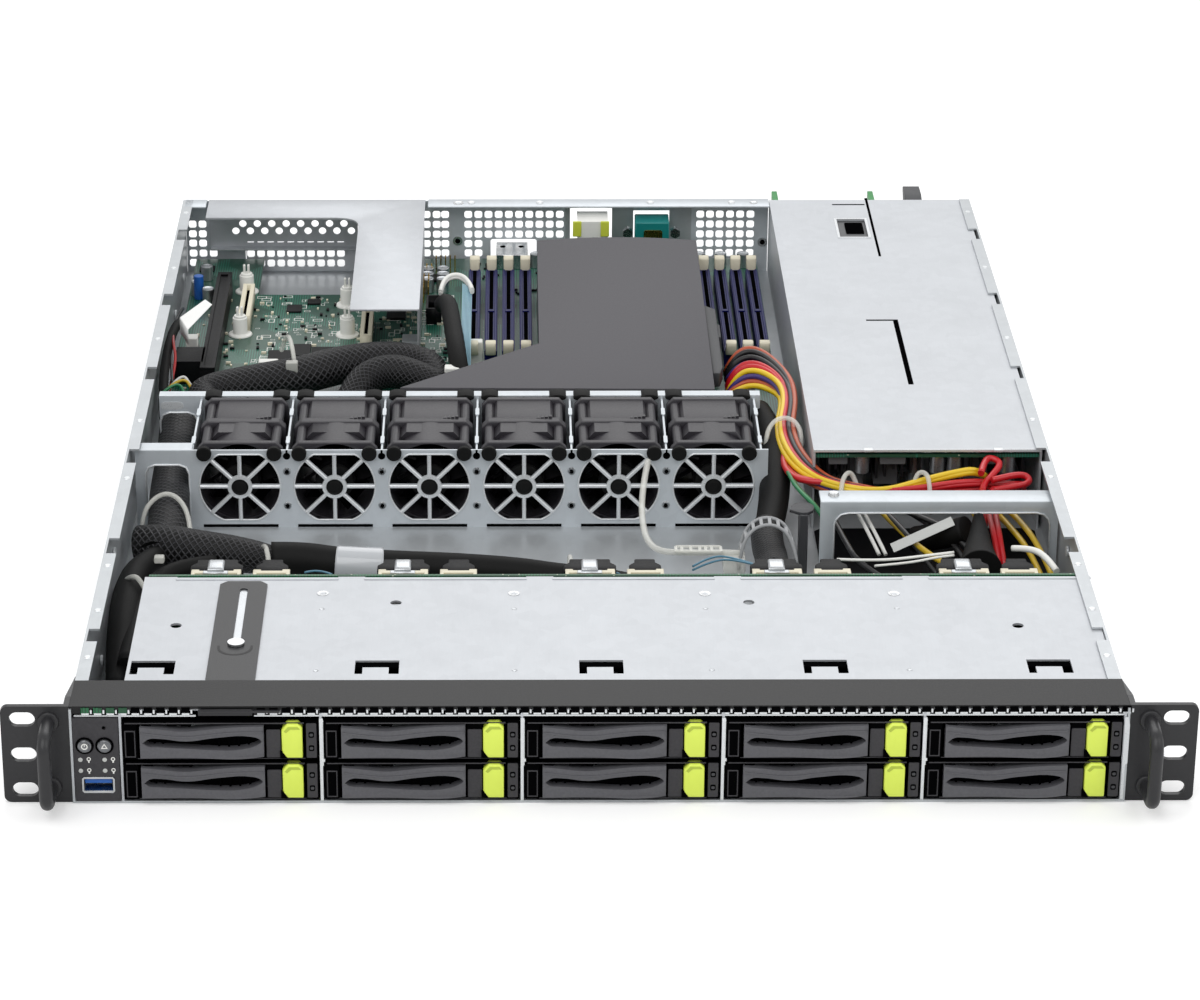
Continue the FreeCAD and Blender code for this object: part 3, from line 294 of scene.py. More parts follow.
class Finishes:
    """Every finish of the server, by what the real surface is, and the finishes laid as painted
    shade.
    """

    # Galvanised sheet is a pale, slightly blue grey that blurs what it reflects.
    lid_steel = RolledSheet("galvanised_lid_sheet", "light_steel", "#c2c5c9", 0.44, 0.5,
        grain_mm=0.45, bump=0.012, mottle=0.08, patch_mm=26)
    # Zinc-plated sheet of the tray: darker, glossier and streaked along the rolling.
    tray_steel = RolledSheet("zinc_plated_tray_sheet", "zinc", "#bcc0c3", 0.32, 0.45, grain_mm=0.6,
        bump=0.012, mottle=0.09, patch_mm=18)
    bracket_steel = RolledSheet("zinc_plated_bracket_sheet", "zinc", "#ccd2d7", 0.32, 0.3,
        grain_mm=0.5, bump=0.012, mottle=0.10, patch_mm=12)
    edge_steel = Finish("bright_cut_steel", "zinc", "#dfe2e4", 0.3, 0.4, grain_mm=0.4)
    # Powder coat over sheet: near-black with a soft orange-peel texture.
    black_coat = Finish("black_powder_coat", "black_sheet", "#161617", 0.42, grain_mm=0.7,
        bump=0.06, mottle=0.25, patch_mm=1.5, specular=0.3)
    ear_coat = Finish("dark_powder_coat", "black_sheet", "#29292b", 0.36, grain_mm=0.6, bump=0.04,
        mottle=0.15, patch_mm=2, specular=0.4)
    # Spark-eroded mould texture on ABS: charcoal with a fine, dry sparkle.
    bezel_abs = Finish("textured_charcoal_abs", "dark_plastic", "#39383b", 0.5, grain_mm=0.5,
        bump=0.05, mottle=0.3, patch_mm=1.1, specular=0.3)
    # Near-black smooth ABS of the carriers and small inner parts. The same finish, with no
    # specular, is also laid as painted shade: near-black sheets in holes, slots, gaps, grooves and
    # vent openings.
    black_abs_and_hole_shade = Finish("black_abs_and_painted_hole_shade", "dark_plastic", "#060607", 0.4, grain_mm=1.0, bump=0.01,
        specular=0.0)
    lever_abs = Finish("satin_grey_lever_abs", "dark_plastic", "#56565a", 0.42, grain_mm=0.5,
        bump=0.04, mottle=0.25, patch_mm=1.2, specular=0.4)
    latch_lime = Finish("lime_acetal", "green_latch", "#dcee58", 0.36, bump=0.01, mottle=0.04,
        coat=0.2)
    # The same lime acetal, darker, laid on the latch's chamfered corner as painted shade.
    latch_shade = Finish("lime_acetal_painted_shade", "green_latch", "#b0c040", 0.4, bump=0.01,
        mottle=0.04)
    # Glass-filled nylon of the fans: black with a faint milky bloom.
    fan_nylon = Finish("glass_filled_black_nylon", "fan_plastic", "#302e33", 0.42, grain_mm=0.9,
        bump=0.03, mottle=0.2, patch_mm=3)
    rotor_nylon = Finish("rotor_black_nylon", "fan_plastic", "#0c0c0e", 0.34, grain_mm=0.9,
        bump=0.01, specular=0.12)
    soft_rubber = Finish("black_rubber", "fan_plastic", "#131313", 0.6, grain_mm=0.6,
        specular=0.15)
    board_mask = CircuitBoard("green_solder_mask", "board_green", "#1a4a3a", 0.35, 0.0,
        grain_mm=0.6, bump=0.01, coat=0.3)
    backplane_mask = CircuitBoard("deep_green_solder_mask", "board_green", "#0f4a2c", 0.35,
        grain_mm=0.6, bump=0.01, trace="#1c6a42")
    # Moulded duct sheet, matt with an eggshell grain.
    duct_sheet = Finish("matt_grey_polycarbonate", "duct_grey", "#545357", 0.62, grain_mm=0.5,
        bump=0.05, mottle=0.1, patch_mm=1.5, specular=0.35)
    navy_nylon = Finish("navy_nylon", "dark_plastic", "#0e1455", 0.4, specular=0.2)
    ivory_nylon = Finish("ivory_nylon", "cable_sleeve", "#ded7c0", 0.45)
    white_nylon = Finish("white_nylon", "cable_sleeve", "#e9e9e4", 0.4)
    clear_nylon = Finish("natural_nylon_tie", "cable_sleeve", "#e6e6df", 0.3, coat=0.3, alpha=0.5)
    grey_tie = Finish("grey_nylon_tie", "cable_sleeve", "#9a9c9e", 0.45)
    black_nylon = Finish("black_connector_nylon", "dark_plastic", "#111113", 0.45, specular=0.15)
    tin = Finish("tinned_steel", "button_metal", "#c9cbcc", 0.25, 1.0, grain_mm=0.5, bump=0.005)
    button_steel = Finish("dark_nickel_button", "button_metal", "#77797c", 0.3, 0.7)
    gold = Finish("gold_flash", "button_metal", "#d8b45a", 0.25, 1.0, grain_mm=0.5)
    can = Finish("aluminium_can", "button_metal", "#c3c6c9", 0.3, 0.9, grain_mm=0.4)
    chip_epoxy = Finish("black_chip_epoxy", "dark_plastic", "#161617", 0.55, grain_mm=0.3,
        specular=0.2)
    choke = Finish("grey_choke_ferrite", "dark_plastic", "#5b5c5e", 0.5, 0.1, grain_mm=0.4)
    sink = Finish("black_anodised_sink", "dark_plastic", "#232326", 0.4, 0.6, grain_mm=0.5)
    port_blue = Finish("blue_port_tongue", "dark_plastic", "#1f5fb4", 0.4)
    video_teal = Finish("teal_connector_nylon", "dark_plastic", "#127a78", 0.4)
    jack_green = Finish("yellow_green_shell", "green_latch", "#cfd84a", 0.4)
    tab_green = Finish("green_release_tab", "tab_green", "#1f8a3c", 0.4)
    grip_grey = Finish("dark_grip_nylon", "dark_plastic", "#3c3d40")
    lens = Finish("milky_light_lens", "button_metal", "#b9bbb8", 0.3, coat=0.4)
    paper = Finish("white_vinyl_flag", "cable_sleeve", "#f0f0ee")
    sleeve = Braid("black_braided_sleeve", "cable_sleeve", "#434346", 0.45, 0.0, bump=0.35,
        specular=0.25)
    tape = Finish("clear_glossy_tape", "cable_sleeve", "#b9bcc0", 0.2, coat=0.6)

    @staticmethod
    def wire(colour: str) -> Finish:
        """Gives the finish of a wire's soft extruded insulation.

        Args:
            colour: sRGB hex.
        """
        return Finish("pvc_wire_" + colour[1:], "cable_red", colour, 0.38, grain_mm=1.2, bump=0.01,
            mottle=0.05, coat=0.25)


# ---------------- modelling tools

class Axis(Enum):
    """The direction that a plate's thickness or a rod's length runs in."""

    X = "x"
    Y = "y"
    Z = "z"

    def upright(self) -> Matrix:
        """Gives the turn that takes a shape lying on the XY plane to face this axis."""
        turns = {Axis.X: Matrix(((0, 0, 1), (1, 0, 0), (0, 1, 0))),
            Axis.Y: Matrix(((1, 0, 0), (0, 0, -1), (0, 1, 0))), Axis.Z: Matrix.Identity(3),}
        return turns[self].to_4x4()


def add_object(name: str, data: bpy.types.ID) -> Piece:
    """Adds an object with this data to the scene."""
    made = bpy.data.objects.new(name, data)
    bpy.context.scene.collection.objects.link(made)
    return made


def deselect_all() -> None:
    """Leaves edit mode and deselects every object."""
    if bpy.context.mode != "OBJECT":
        bpy.ops.object.mode_set(mode="OBJECT")
    bpy.ops.object.select_all(action="DESELECT")


def select_only(*pieces: Piece) -> None:
    """Selects these objects alone, the last of them active."""
    deselect_all()
    for piece in pieces:
        piece.select_set(True)
        bpy.context.view_layer.objects.active = piece


def settle(name: str) -> Piece:
    """Names the active object and moves its place into its mesh."""
    bpy.ops.object.transform_apply(location=True, rotation=True, scale=True)
    made = bpy.context.object
    made.name = name
    return made


def block(name: str, low: Point, high: Point) -> Piece:
    """Starts a piece from a cube stretched between two corners, in mm."""
    deselect_all()
    middle = [(a + b) / 2 * MM for a, b in zip(low, high)]
    bpy.ops.mesh.primitive_cube_add(size=MM, location=middle)
    bpy.context.object.scale = [b - a for a, b in zip(low, high)]
    return settle(name)


def rod(name: str, axis: Axis, foot: Point, radius: float, length: float, sides: int = 20,
        tip: float | None = None) -> Piece:
    """Starts a piece from a cylinder or cone.

    Args:
        name: the piece's name.
        axis: the way its length runs.
        foot: the middle of its lower end, in mm.
        radius: radius at the foot, in mm.
        length: length along the axis, in mm.
        sides: number of sides.
        tip: radius at the far end, if it differs.
    """
    deselect_all()
    bpy.ops.mesh.primitive_cone_add(vertices=sides, radius1=radius * MM, depth=length * MM,
        radius2=(radius if tip is None else tip) * MM)
    made = settle(name)
    turn = {Axis.X: Matrix.Rotation(math.pi / 2, 4, "Y"),
        Axis.Y: Matrix.Rotation(-math.pi / 2, 4, "X"), Axis.Z: Matrix.Identity(4)}[axis]
    shift = Matrix.Translation(Vector(foot) * MM) @ turn @ Matrix.Translation((0, 0,
        length / 2 * MM))
    made.data.transform(shift)
    return made


def plate(name: str, axis: Axis, low: float, high: float, *outlines: Sequence[Point]) -> Piece:
    """Starts a piece from flat outlines given a thickness; an outline inside another is a hole.

    Args:
        name: the piece's name.
        axis: the way its thickness runs.
        low: where the thickness starts along the axis, in mm.
        high: where it ends.
        outlines: closed outlines of (u, v) corners; a third item, 1, makes a point smooth.
    """
    curve = bpy.data.curves.new(name, "CURVE")
    curve.dimensions, curve.fill_mode = "2D", "BOTH"
    curve.extrude = (high - low) / 2 * MM
    curve.resolution_u = 5
    for outline in outlines:
        spline = curve.splines.new("BEZIER")
        spline.bezier_points.add(len(outline) - 1)
        for point, corner in zip(spline.bezier_points, outline):
            point.co = (corner[0] * MM, corner[1] * MM, 0)
            kind = "AUTO" if len(corner) > 2 else "VECTOR"
            point.handle_left_type = point.handle_right_type = kind
        spline.use_cyclic_u = True
    made = add_object(name, curve)
    select_only(made)
    bpy.ops.object.convert(target="MESH")
    made = bpy.context.object
    middle = (low + high) / 2 * MM
    shift = {Axis.X: (middle, 0, 0), Axis.Y: (0, middle, 0), Axis.Z: (0, 0, middle)}[axis]
    made.data.transform(Matrix.Translation(shift) @ axis.upright())
    with editing(made):
        bpy.ops.mesh.select_all(action="SELECT")
        bpy.ops.mesh.remove_doubles(threshold=0.002 * MM)
        bpy.ops.mesh.normals_make_consistent(inside=False)
    return made


@contextmanager
def editing(piece: Piece, kind: str = "FACE") -> Iterator[None]:
    """Works on one object in edit mode, with nothing selected at the start."""
    select_only(piece)
    bpy.ops.object.mode_set(mode="EDIT")
    bpy.ops.mesh.select_mode(type=kind)
    bpy.ops.mesh.select_all(action="DESELECT")
    yield
    bpy.ops.object.mode_set(mode="OBJECT")


def pick_faces(piece: Piece, facing: str) -> None:
    """Selects the faces that look one way, such as "+z" or "-y", in edit mode."""
    index, sense = "xyz".index(facing[1]), float(facing[0] + "1")
    mesh = bmesh.from_edit_mesh(piece.data)
    for face in mesh.faces:
        face.select_set(face.normal[index] * sense > 0.9)
    bmesh.update_edit_mesh(piece.data)


def press(piece: Piece, facing: str, *steps: tuple[float, Point]) -> None:
    """Insets the faces that look one way, and moves each inset.

    Args:
        piece: the piece.
        facing: the way its faces look, as for pick_faces.
        steps: the width and the shift of each inset, in mm.
    """
    with editing(piece):
        pick_faces(piece, facing)
        for width, shift in steps:
            bpy.ops.mesh.inset(thickness=width * MM)
            bpy.ops.transform.translate(value=[c * MM for c in shift])


def smooth(degrees: float) -> None:
    """Shades the active object smooth, but for edges sharper than this angle."""
    bpy.ops.object.shade_smooth_by_angle(angle=math.radians(degrees))


def soften(piece: Piece, width: float, segments: int = 2, angle: float = 35.0) -> Piece:
    """Rounds the edges of a piece with an applied bevel, and shades it smooth between edges."""
    select_only(piece)
    bevel = piece.modifiers.new("Edges", "BEVEL")
    bevel.width, bevel.segments = width * MM, segments
    bevel.limit_method, bevel.angle_limit = "ANGLE", math.radians(angle)
    bevel.harden_normals = False
    bpy.ops.object.modifier_apply(modifier=bevel.name)
    smooth(38)
    return piece


def join(name: str, pieces: Sequence[Piece]) -> Piece:
    """Joins pieces into one object; their materials stay on their faces."""
    select_only(*pieces)
    if len(pieces) > 1:
        bpy.ops.object.join()
    made = bpy.context.object
    made.name = name
    return made


def spread(name: str, form: Piece, places: Sequence[Matrix | Point], keep: bool = False) -> Piece:
    """Copies a form to each place, each copy with its own mesh, and joins the copies.

    Args:
        name: the joined piece's name.
        form: the form, which is removed.
        places: shifts in mm, or whole matrices in metres.
        keep: leaves the form for another use.
    """
    copies = []
    for place in places:
        twin = bpy.data.objects.new(name, form.data.copy())
        matrix = place if isinstance(place, Matrix) else Matrix.Translation(Vector(place) * MM)
        twin.data.transform(matrix)
        bpy.context.scene.collection.objects.link(twin)
        copies.append(twin)
    if not keep:
        bpy.data.objects.remove(form)
    return join(name, copies)


def about(x: float, y: float, z: float, turn: float = 0.0, axis: str = "Z",
        size: float = 1.0) -> Matrix:
    """Gives a place: a turn in degrees about an axis and a scale, then a shift in mm."""
    return (Matrix.Translation((x * MM, y * MM, z * MM)) @ Matrix.Rotation(math.radians(turn), 4,
        axis) @ Matrix.Scale(size, 4))


def coat(piece: Piece, finish: Finish) -> Piece:
    """Gives all of a piece one finish."""
    piece.data.materials.clear()
    piece.data.materials.append(finish.material())
    for face in piece.data.polygons:
        face.material_index = 0
    return piece


def mount(piece: Piece, finish: Finish, *nodes: str, body: str = CHASSIS) -> Piece:
    """Puts a finished piece on its body, in its finish.

    Args:
        piece: the piece, in place.
        finish: its finish; a piece that has its finishes on its faces keeps them.
        nodes: CAD nodes that it stands for.
        body: the CAD body that it rides on.
    """
    if not piece.data.materials:
        coat(piece, finish)
    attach(piece, body)
    if nodes:
        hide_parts(*nodes)
    LOG.info("%s rides on %s", piece.name, body)
    return piece


def fit(name: str, pieces: Sequence[Piece], finish: Finish, *nodes: str,
        body: str = CHASSIS) -> Piece:
    """Joins pieces under one name and mounts them; the arguments are as for join and mount."""
    return mount(join(name, pieces), finish, *nodes, body=body)


def dress(node: str, finish: Finish) -> None:
    """Gives a CAD node that stays in view its finish."""
    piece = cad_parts[node]
    piece.data.materials.clear()
    piece.data.materials.append(finish.material())
    LOG.info("%s keeps its CAD shape", node)


def carve(node: str, body: str, choose: Chooser, edge: float = 0.0) -> list[Piece]:
    """Stands for a CAD node with merged copies of its solids, one piece for each finish.

    Args:
        node: the CAD node.
        body: the body that it belongs to.
        choose: gives a solid's finish from its lowest and highest corner in mm, or None
            where another piece stands for that solid.
        edge: width of the bevel on its edges, in mm.

    Returns:
        The pieces, the first of which replaces the node.
    """
    twin = add_object(node + "_copy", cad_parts[node].data.copy())
    select_only(twin)
    bpy.ops.mesh.customdata_custom_splitnormals_clear()
    with editing(twin):
        bpy.ops.mesh.select_all(action="SELECT")
        bpy.ops.mesh.remove_doubles(threshold=0.001 * MM)
        bpy.ops.mesh.dissolve_limited(angle_limit=math.radians(1))
        bpy.ops.mesh.separate(type="LOOSE")
    groups: dict[str, tuple[Finish, list[Piece]]] = {}
    for solid in list(bpy.context.selected_objects):
        corners = [vertex.co / MM for vertex in solid.data.vertices]
        low = Vector([min(c[i] for c in corners) for i in range(3)])
        high = Vector([max(c[i] for c in corners) for i in range(3)])
        finish = choose(low, high)
        if finish is None:
            bpy.data.objects.remove(solid)
            continue
        groups.setdefault(finish.name, (finish, []))[1].append(solid)
    made = []
    for name, (finish, solids) in groups.items():
        piece = coat(join(f"{node}_{name}", solids), finish)
        if edge:
            soften(piece, edge)
        else:
            smooth(30)
        made.append(mount(piece, finish, *([] if made else [node]), body=body))
    return made


def route(points: Sequence[Point], dense: int = 8) -> list[Vector]:
    """Follows the smooth line of a NURBS spline with these control points.

    Args:
        points: control points, in mm.
        dense: points on the line for each control point.

    Returns:
        Points along the line, in metres.
    """
    curve = bpy.data.curves.new("Route", "CURVE")
    curve.dimensions, curve.resolution_u = "3D", dense
    spline = curve.splines.new("NURBS")
    spline.points.add(len(points) - 1)
    for point, place in zip(spline.points, points):
        point.co = (*(c * MM for c in place), 1.0)
    spline.order_u, spline.use_endpoint_u = 3, True
    line = bpy.data.objects.new("Route", curve)
    mesh = bpy.data.meshes.new_from_object(line)
    path = [vertex.co.copy() for vertex in mesh.vertices]
    bpy.data.objects.remove(line)
    bpy.data.meshes.remove(mesh)
    return path


def cross_frames(path: Sequence[Vector]) -> list[tuple[Vector, Vector]]:
    """Gives two directions across a line at each of its points, with no twist along it."""
    frames = []
    side = Vector((0, 0, 1))
    for index in range(len(path)):
        ahead = path[min(index + 1, len(path) - 1)] - path[max(index - 1, 0)]
        ahead.normalize()
        side = side - ahead * side.dot(ahead)
        if side.length < 1e-3:
            side = ahead.orthogonal()
        side.normalize()
        frames.append((side.copy(), ahead.cross(side)))
    return frames


def tube(name: str, path: Sequence[Vector], radius: float | Callable[[float], float],
        sides: int = 8) -> Piece:
    """Makes a closed tube along a line, with a UV map: U once around, V in metres along.

    Args:
        name: the piece's name.
        path: points in metres.
        radius: radius in mm, or a function of the share of the way along.
        sides: number of sides.
    """
    shape = bmesh.new()
    layer = shape.loops.layers.uv.new("UVMap")
    rings, along = [], [0.0]
    for start, end in zip(path, path[1:]):
        along.append(along[-1] + (end - start).length)
    for index, (point, (side, other)) in enumerate(zip(path, cross_frames(path))):
        share = along[index] / along[-1]
        reach = (radius(share) if callable(radius) else radius) * MM
        rings.append([shape.verts.new(point + (side * math.cos(a) + other * math.sin(a)) * reach)
            for a in (2 * math.pi * k / sides for k in range(sides))])
    for index in range(len(rings) - 1):
        for k in range(sides):
            after = (k + 1) % sides
            face = shape.faces.new((rings[index][k], rings[index][after], rings[index + 1][after],
                rings[index + 1][k]))
            for loop, (u, v) in zip(face.loops, ((k, index), (k + 1, index), (k + 1, index + 1),
                    (k, index + 1))):
                loop[layer].uv = (u / sides, along[v])
            face.smooth = True
    shape.faces.new(list(reversed(rings[0])))
    shape.faces.new(rings[-1])
    bmesh.ops.recalc_face_normals(shape, faces=shape.faces)
    mesh = bpy.data.meshes.new(name)
    shape.to_mesh(mesh)
    shape.free()
    return add_object(name, mesh)


def cords(paths: Sequence[Sequence[Point]], radius: float, dense: int = 8) -> list[Piece]:
    """Makes a wire along each route; the arguments are as for route and tube."""
    return [tube("Wire", route(path, dense), radius, 8) for path in paths]


def box_outline(left: float, low: float, right: float, high: float,
        corner: float = 0.0) -> list[Point]:
    """Gives a rectangle's outline, its corners cut at 45 degrees where asked, in mm."""
    if not corner:
        return [(left, low), (right, low), (right, high), (left, high)]
    return [(left + corner, low), (right - corner, low), (right, low + corner),
        (right, high - corner), (right - corner, high), (left + corner, high),
        (left, high - corner), (left, low + corner)]


def shifted(u: float, v: float, *corners: Point) -> list[Point]:
    """Moves an outline's corners by (u, v), in mm."""
    return [(u + a, v + b, *kind) for a, b, *kind in corners]


def ring_outline(u: float, v: float, radius: float, points: int = 8) -> list[Point]:
    """Gives a smooth round outline, in mm."""
    return [(u + radius * math.cos(2 * math.pi * k / points),
        v + radius * math.sin(2 * math.pi * k / points), 1) for k in range(points)]


def screw(name: str, x: float, y: float, z: float, radius: float, sunk: bool = True,) -> Piece:
    """Makes a screw head lying on a horizontal face, with a crossed recess.

    Args:
        name: the piece's name.
        x: place of its middle, in mm.
        y: place of its middle, in mm.
        z: height of the face, in mm.
        radius: radius of the head, in mm.
        sunk: countersunk, so that its top is nearly level with the face.
    """
    rise = 0.25 if sunk else radius * 0.5
    head = rod(name, Axis.Z, (x, y, z - 0.1), radius, rise + 0.1, 20,
        radius * (0.96 if sunk else 0.75))
    press(head, "+z", (radius * 0.22, (0, 0, 0.08)), (radius * 0.3, (0, 0, -0.35)))
    smooth(40)
    return head


# ---------------- studio

@dataclass
class Studio:
    """Pale floor, even light and the camera."""

    eye: Point = (-35.0, -1420.0, 761.0)
    pitch: float = 23.83
    yaw: float = 0.20
    lens: float = 118.6
    shift_x: float = 0.0625
    world_level: float = 0.72
    lamps: dict[str, tuple] = field(default_factory=lambda: {"Key": ((-0.7, -1.0, 1.9), 1.6, 17.0),
        "Fill": ((1.5, -0.6, 1.5), 1.4, 8.0), "Rim": ((0.2, 1.9, 1.5), 1.6, 11.0),})

    def build(self) -> None:
        """Makes the camera, lights, world and floor."""
        self.place_camera()
        self.place_lights()
        self.lay_floor()
        bpy.context.scene.view_settings.view_transform = "Standard"

    def place_camera(self) -> None:
        """Adds the camera and makes it the scene's."""
        lens = bpy.data.cameras.new("Camera")
        lens.lens, lens.sensor_width, lens.shift_x = self.lens, 36.0, self.shift_x
        lens.clip_start, lens.clip_end = 0.05, 50.0
        camera = bpy.data.objects.new("Camera", lens)
        camera.location = [c * MM for c in self.eye]
        camera.rotation_euler = (math.radians(90 - self.pitch), 0, math.radians(-self.yaw))
        bpy.context.scene.collection.objects.link(camera)
        bpy.context.scene.camera = camera

    def place_lights(self) -> None:
        """Adds soft area lamps aimed at the server, and an even world."""
        target = Vector((0, 0.3, 0.02))
        for name, (place, size, power) in self.lamps.items():
            lamp = bpy.data.lights.new(name, "AREA")
            lamp.size, lamp.energy = size, power
            holder = bpy.data.objects.new(name, lamp)
            holder.location = place
            holder.rotation_euler = (target - Vector(place)).to_track_quat("-Z", "Y").to_euler()
            bpy.context.scene.collection.objects.link(holder)
        world = bpy.data.worlds.new("World")
        world.use_nodes = True
        bpy.context.scene.world = world
        tree = world.node_tree
        seen = self.light_path(tree)
        level = add_node(tree, "MapRange", {"To Min": self.world_level, "To Max": 1.0},
            {"Value": seen})
        tree.links.new(level.outputs["Result"], tree.nodes["Background"].inputs["Strength"])
        tree.nodes["Background"].inputs["Color"].default_value = (1, 1, 1, 1)

    @staticmethod
    def light_path(tree: Tree) -> Socket:
        """Gives a socket that is 1 on rays straight from the camera."""
        return add_node(tree, "LightPath").outputs["Is Camera Ray"]

    def lay_floor(self) -> None:
        """Adds the floor, white to the camera but for the object's shadow."""
        bpy.ops.mesh.primitive_plane_add(size=14, location=(0, 0, -0.0002))
        floor = settle("Floor")
        paint = bpy.data.materials.new("pale_floor")
        paint.use_nodes = True
        tree = paint.node_tree
        shader = tree.nodes["Principled BSDF"]
        shader.inputs["Base Color"].default_value = linear("#f4f4f4")
        shader.inputs["Roughness"].default_value = 0.9
        shader.inputs["Specular IOR Level"].default_value = 0.0
        shader.inputs["Emission Color"].default_value = (1, 1, 1, 1)
        glow = add_node(tree, "Math", {"operation": "MULTIPLY", 1: 0.22},
            {0: self.light_path(tree)})
        tree.links.new(glow.outputs[0], shader.inputs["Emission Strength"])
        floor.data.materials.append(paint)


# ---------------- enclosure

@dataclass
class Enclosure:
    """Folded tray, rear panel, rack ears with handles, and the black front cover."""

    wall_top: float = 42.4
    handle_x: float = 222.0
    handle_reach: float = 19.0
    handle_radius: float = 2.8
    handle_low: float = 6.9
    handle_high: float = 36.5
    cover_screws: tuple[float, ...] = (-175.0, -109.5, -28.1, 40.9, 117.9, 175.5)

    def build(self) -> None:
        """Dresses the sheet metal and adds handles, screws and folded details."""
        dress("chassis_tray", Finishes.tray_steel)
        dress("rear_panel", Finishes.tray_steel)
        dress("rack_ears", Finishes.ear_coat)
        dress("front_top_cover", Finishes.black_coat)
        self.bend_handles()
        self.fix_cover()
        self.detail_walls()

    def bend_handles(self) -> None:
        """Makes the two round handles with their bends and collars."""
        parts = []
        bend = 6
        for side in (-1, 1):
            x = side * self.handle_x
            out = -self.handle_reach
            corners = [(x, 0.2, self.handle_high), (x, out, self.handle_high),
                (x, out, self.handle_low), (x, 0.2, self.handle_low)]
            path = [Vector(corners[0]) * MM]
            for before, corner, after in zip(corners, corners[1:], corners[2:]):
                before, corner, after = (Vector(p) for p in (before, corner, after))
                start = corner + (before - corner).normalized() * bend
                end = corner + (after - corner).normalized() * bend
                centre = start + end - corner
                for step in range(9):
                    a = math.pi / 2 * step / 8
                    path.append((centre + (start - centre) * math.cos(a) + (end - centre)
                        * math.sin(a)) * MM)
            path.append(Vector(corners[-1]) * MM)
            parts.append(tube("Handle", path, self.handle_radius, 20))
            for z in (self.handle_low, self.handle_high):
                collar = rod("Collar", Axis.Y, (x, -1.2, z), 4.1, 1.2, 24, 4.6)
                parts.append(soften(collar, 0.3))
        fit("bent_handles", parts, Finishes.ear_coat, "ear_handles")

    def fix_cover(self) -> None:
        """Adds the cover's screws, its front fold and the bright strips between its vents."""
        heads = [screw("Head", x, 11.7, 43, 3.1) for x in self.cover_screws]
        fit("cover_screws", heads, Finishes.black_coat)
        ribs = []
        mouths, lips = [], []
        for step in range(84):
            x = -208.6 + step * 5.05
            if -165 < x < -139.5:
                continue
            mouths.append(block("Mouth", (x, -0.42, 40.3), (x + 3.4, 0, 42.8)))
            lips.append(block("Lip", (x + 0.2, -0.5, 39.7), (x + 3.2, 0, 40.5)))
            ribs.append(block("Rib", (x + 3.7, -0.5, 40.3), (x + 4.4, 0, 41.9)))
        # The first four mouths show the green board behind the vents; the other mouths are
        # near-black sheets, painted shade in the vent openings.
        boards = [coat(piece, Finishes.backplane_mask) for piece in mouths[:4]]
        holes = coat(join("Mouths", mouths[4:]), Finishes.black_abs_and_hole_shade)
        fit("vent_mouths", boards + [holes], Finishes.black_abs_and_hole_shade)
        rail = block("Rail", (-211.5, -0.35, 38.95), (-162.5, 0.3, 39.5))
        other = block("Rail", (-139, -0.35, 38.95), (212, 0.3, 39.5))
        stop = block("cover_stop", (-139, -0.3, 39.4), (-126, 0.2, 43.2))
        mount(stop, Finishes.black_coat)
        fit("vent_sill", [rail, other] + lips + ribs, Finishes.edge_steel)

    def detail_walls(self) -> None:
        """Adds stamped dimples and rivets along the tray walls, and screws on the rear flange."""
        dimples = []
        for side in (-1, 1):
            for y in (47, 92, 137, 232, 300, 405, 505, 590):
                rivet = rod("Rivet", Axis.Z, (side * 210.4, y, self.wall_top), 1.7, 0.5, 14, 1.2)
                dimples.append(rivet)
            for y in (38, 108, 178, 290, 340, 440, 520, 575):
                for z in (11, 30):
                    boss = rod("Boss", Axis.X, (side * 211.6 - 0.5, y, z), 2.4, 1, 16)
                    dimples.append(boss)
        for x in (-57, -20, 40, 84):
            dimples.append(screw("Head", x, 605.6, 41.9, 2.4, sunk=False))
        fit("wall_rivets", dimples, Finishes.edge_steel)


# ---------------- drive bays

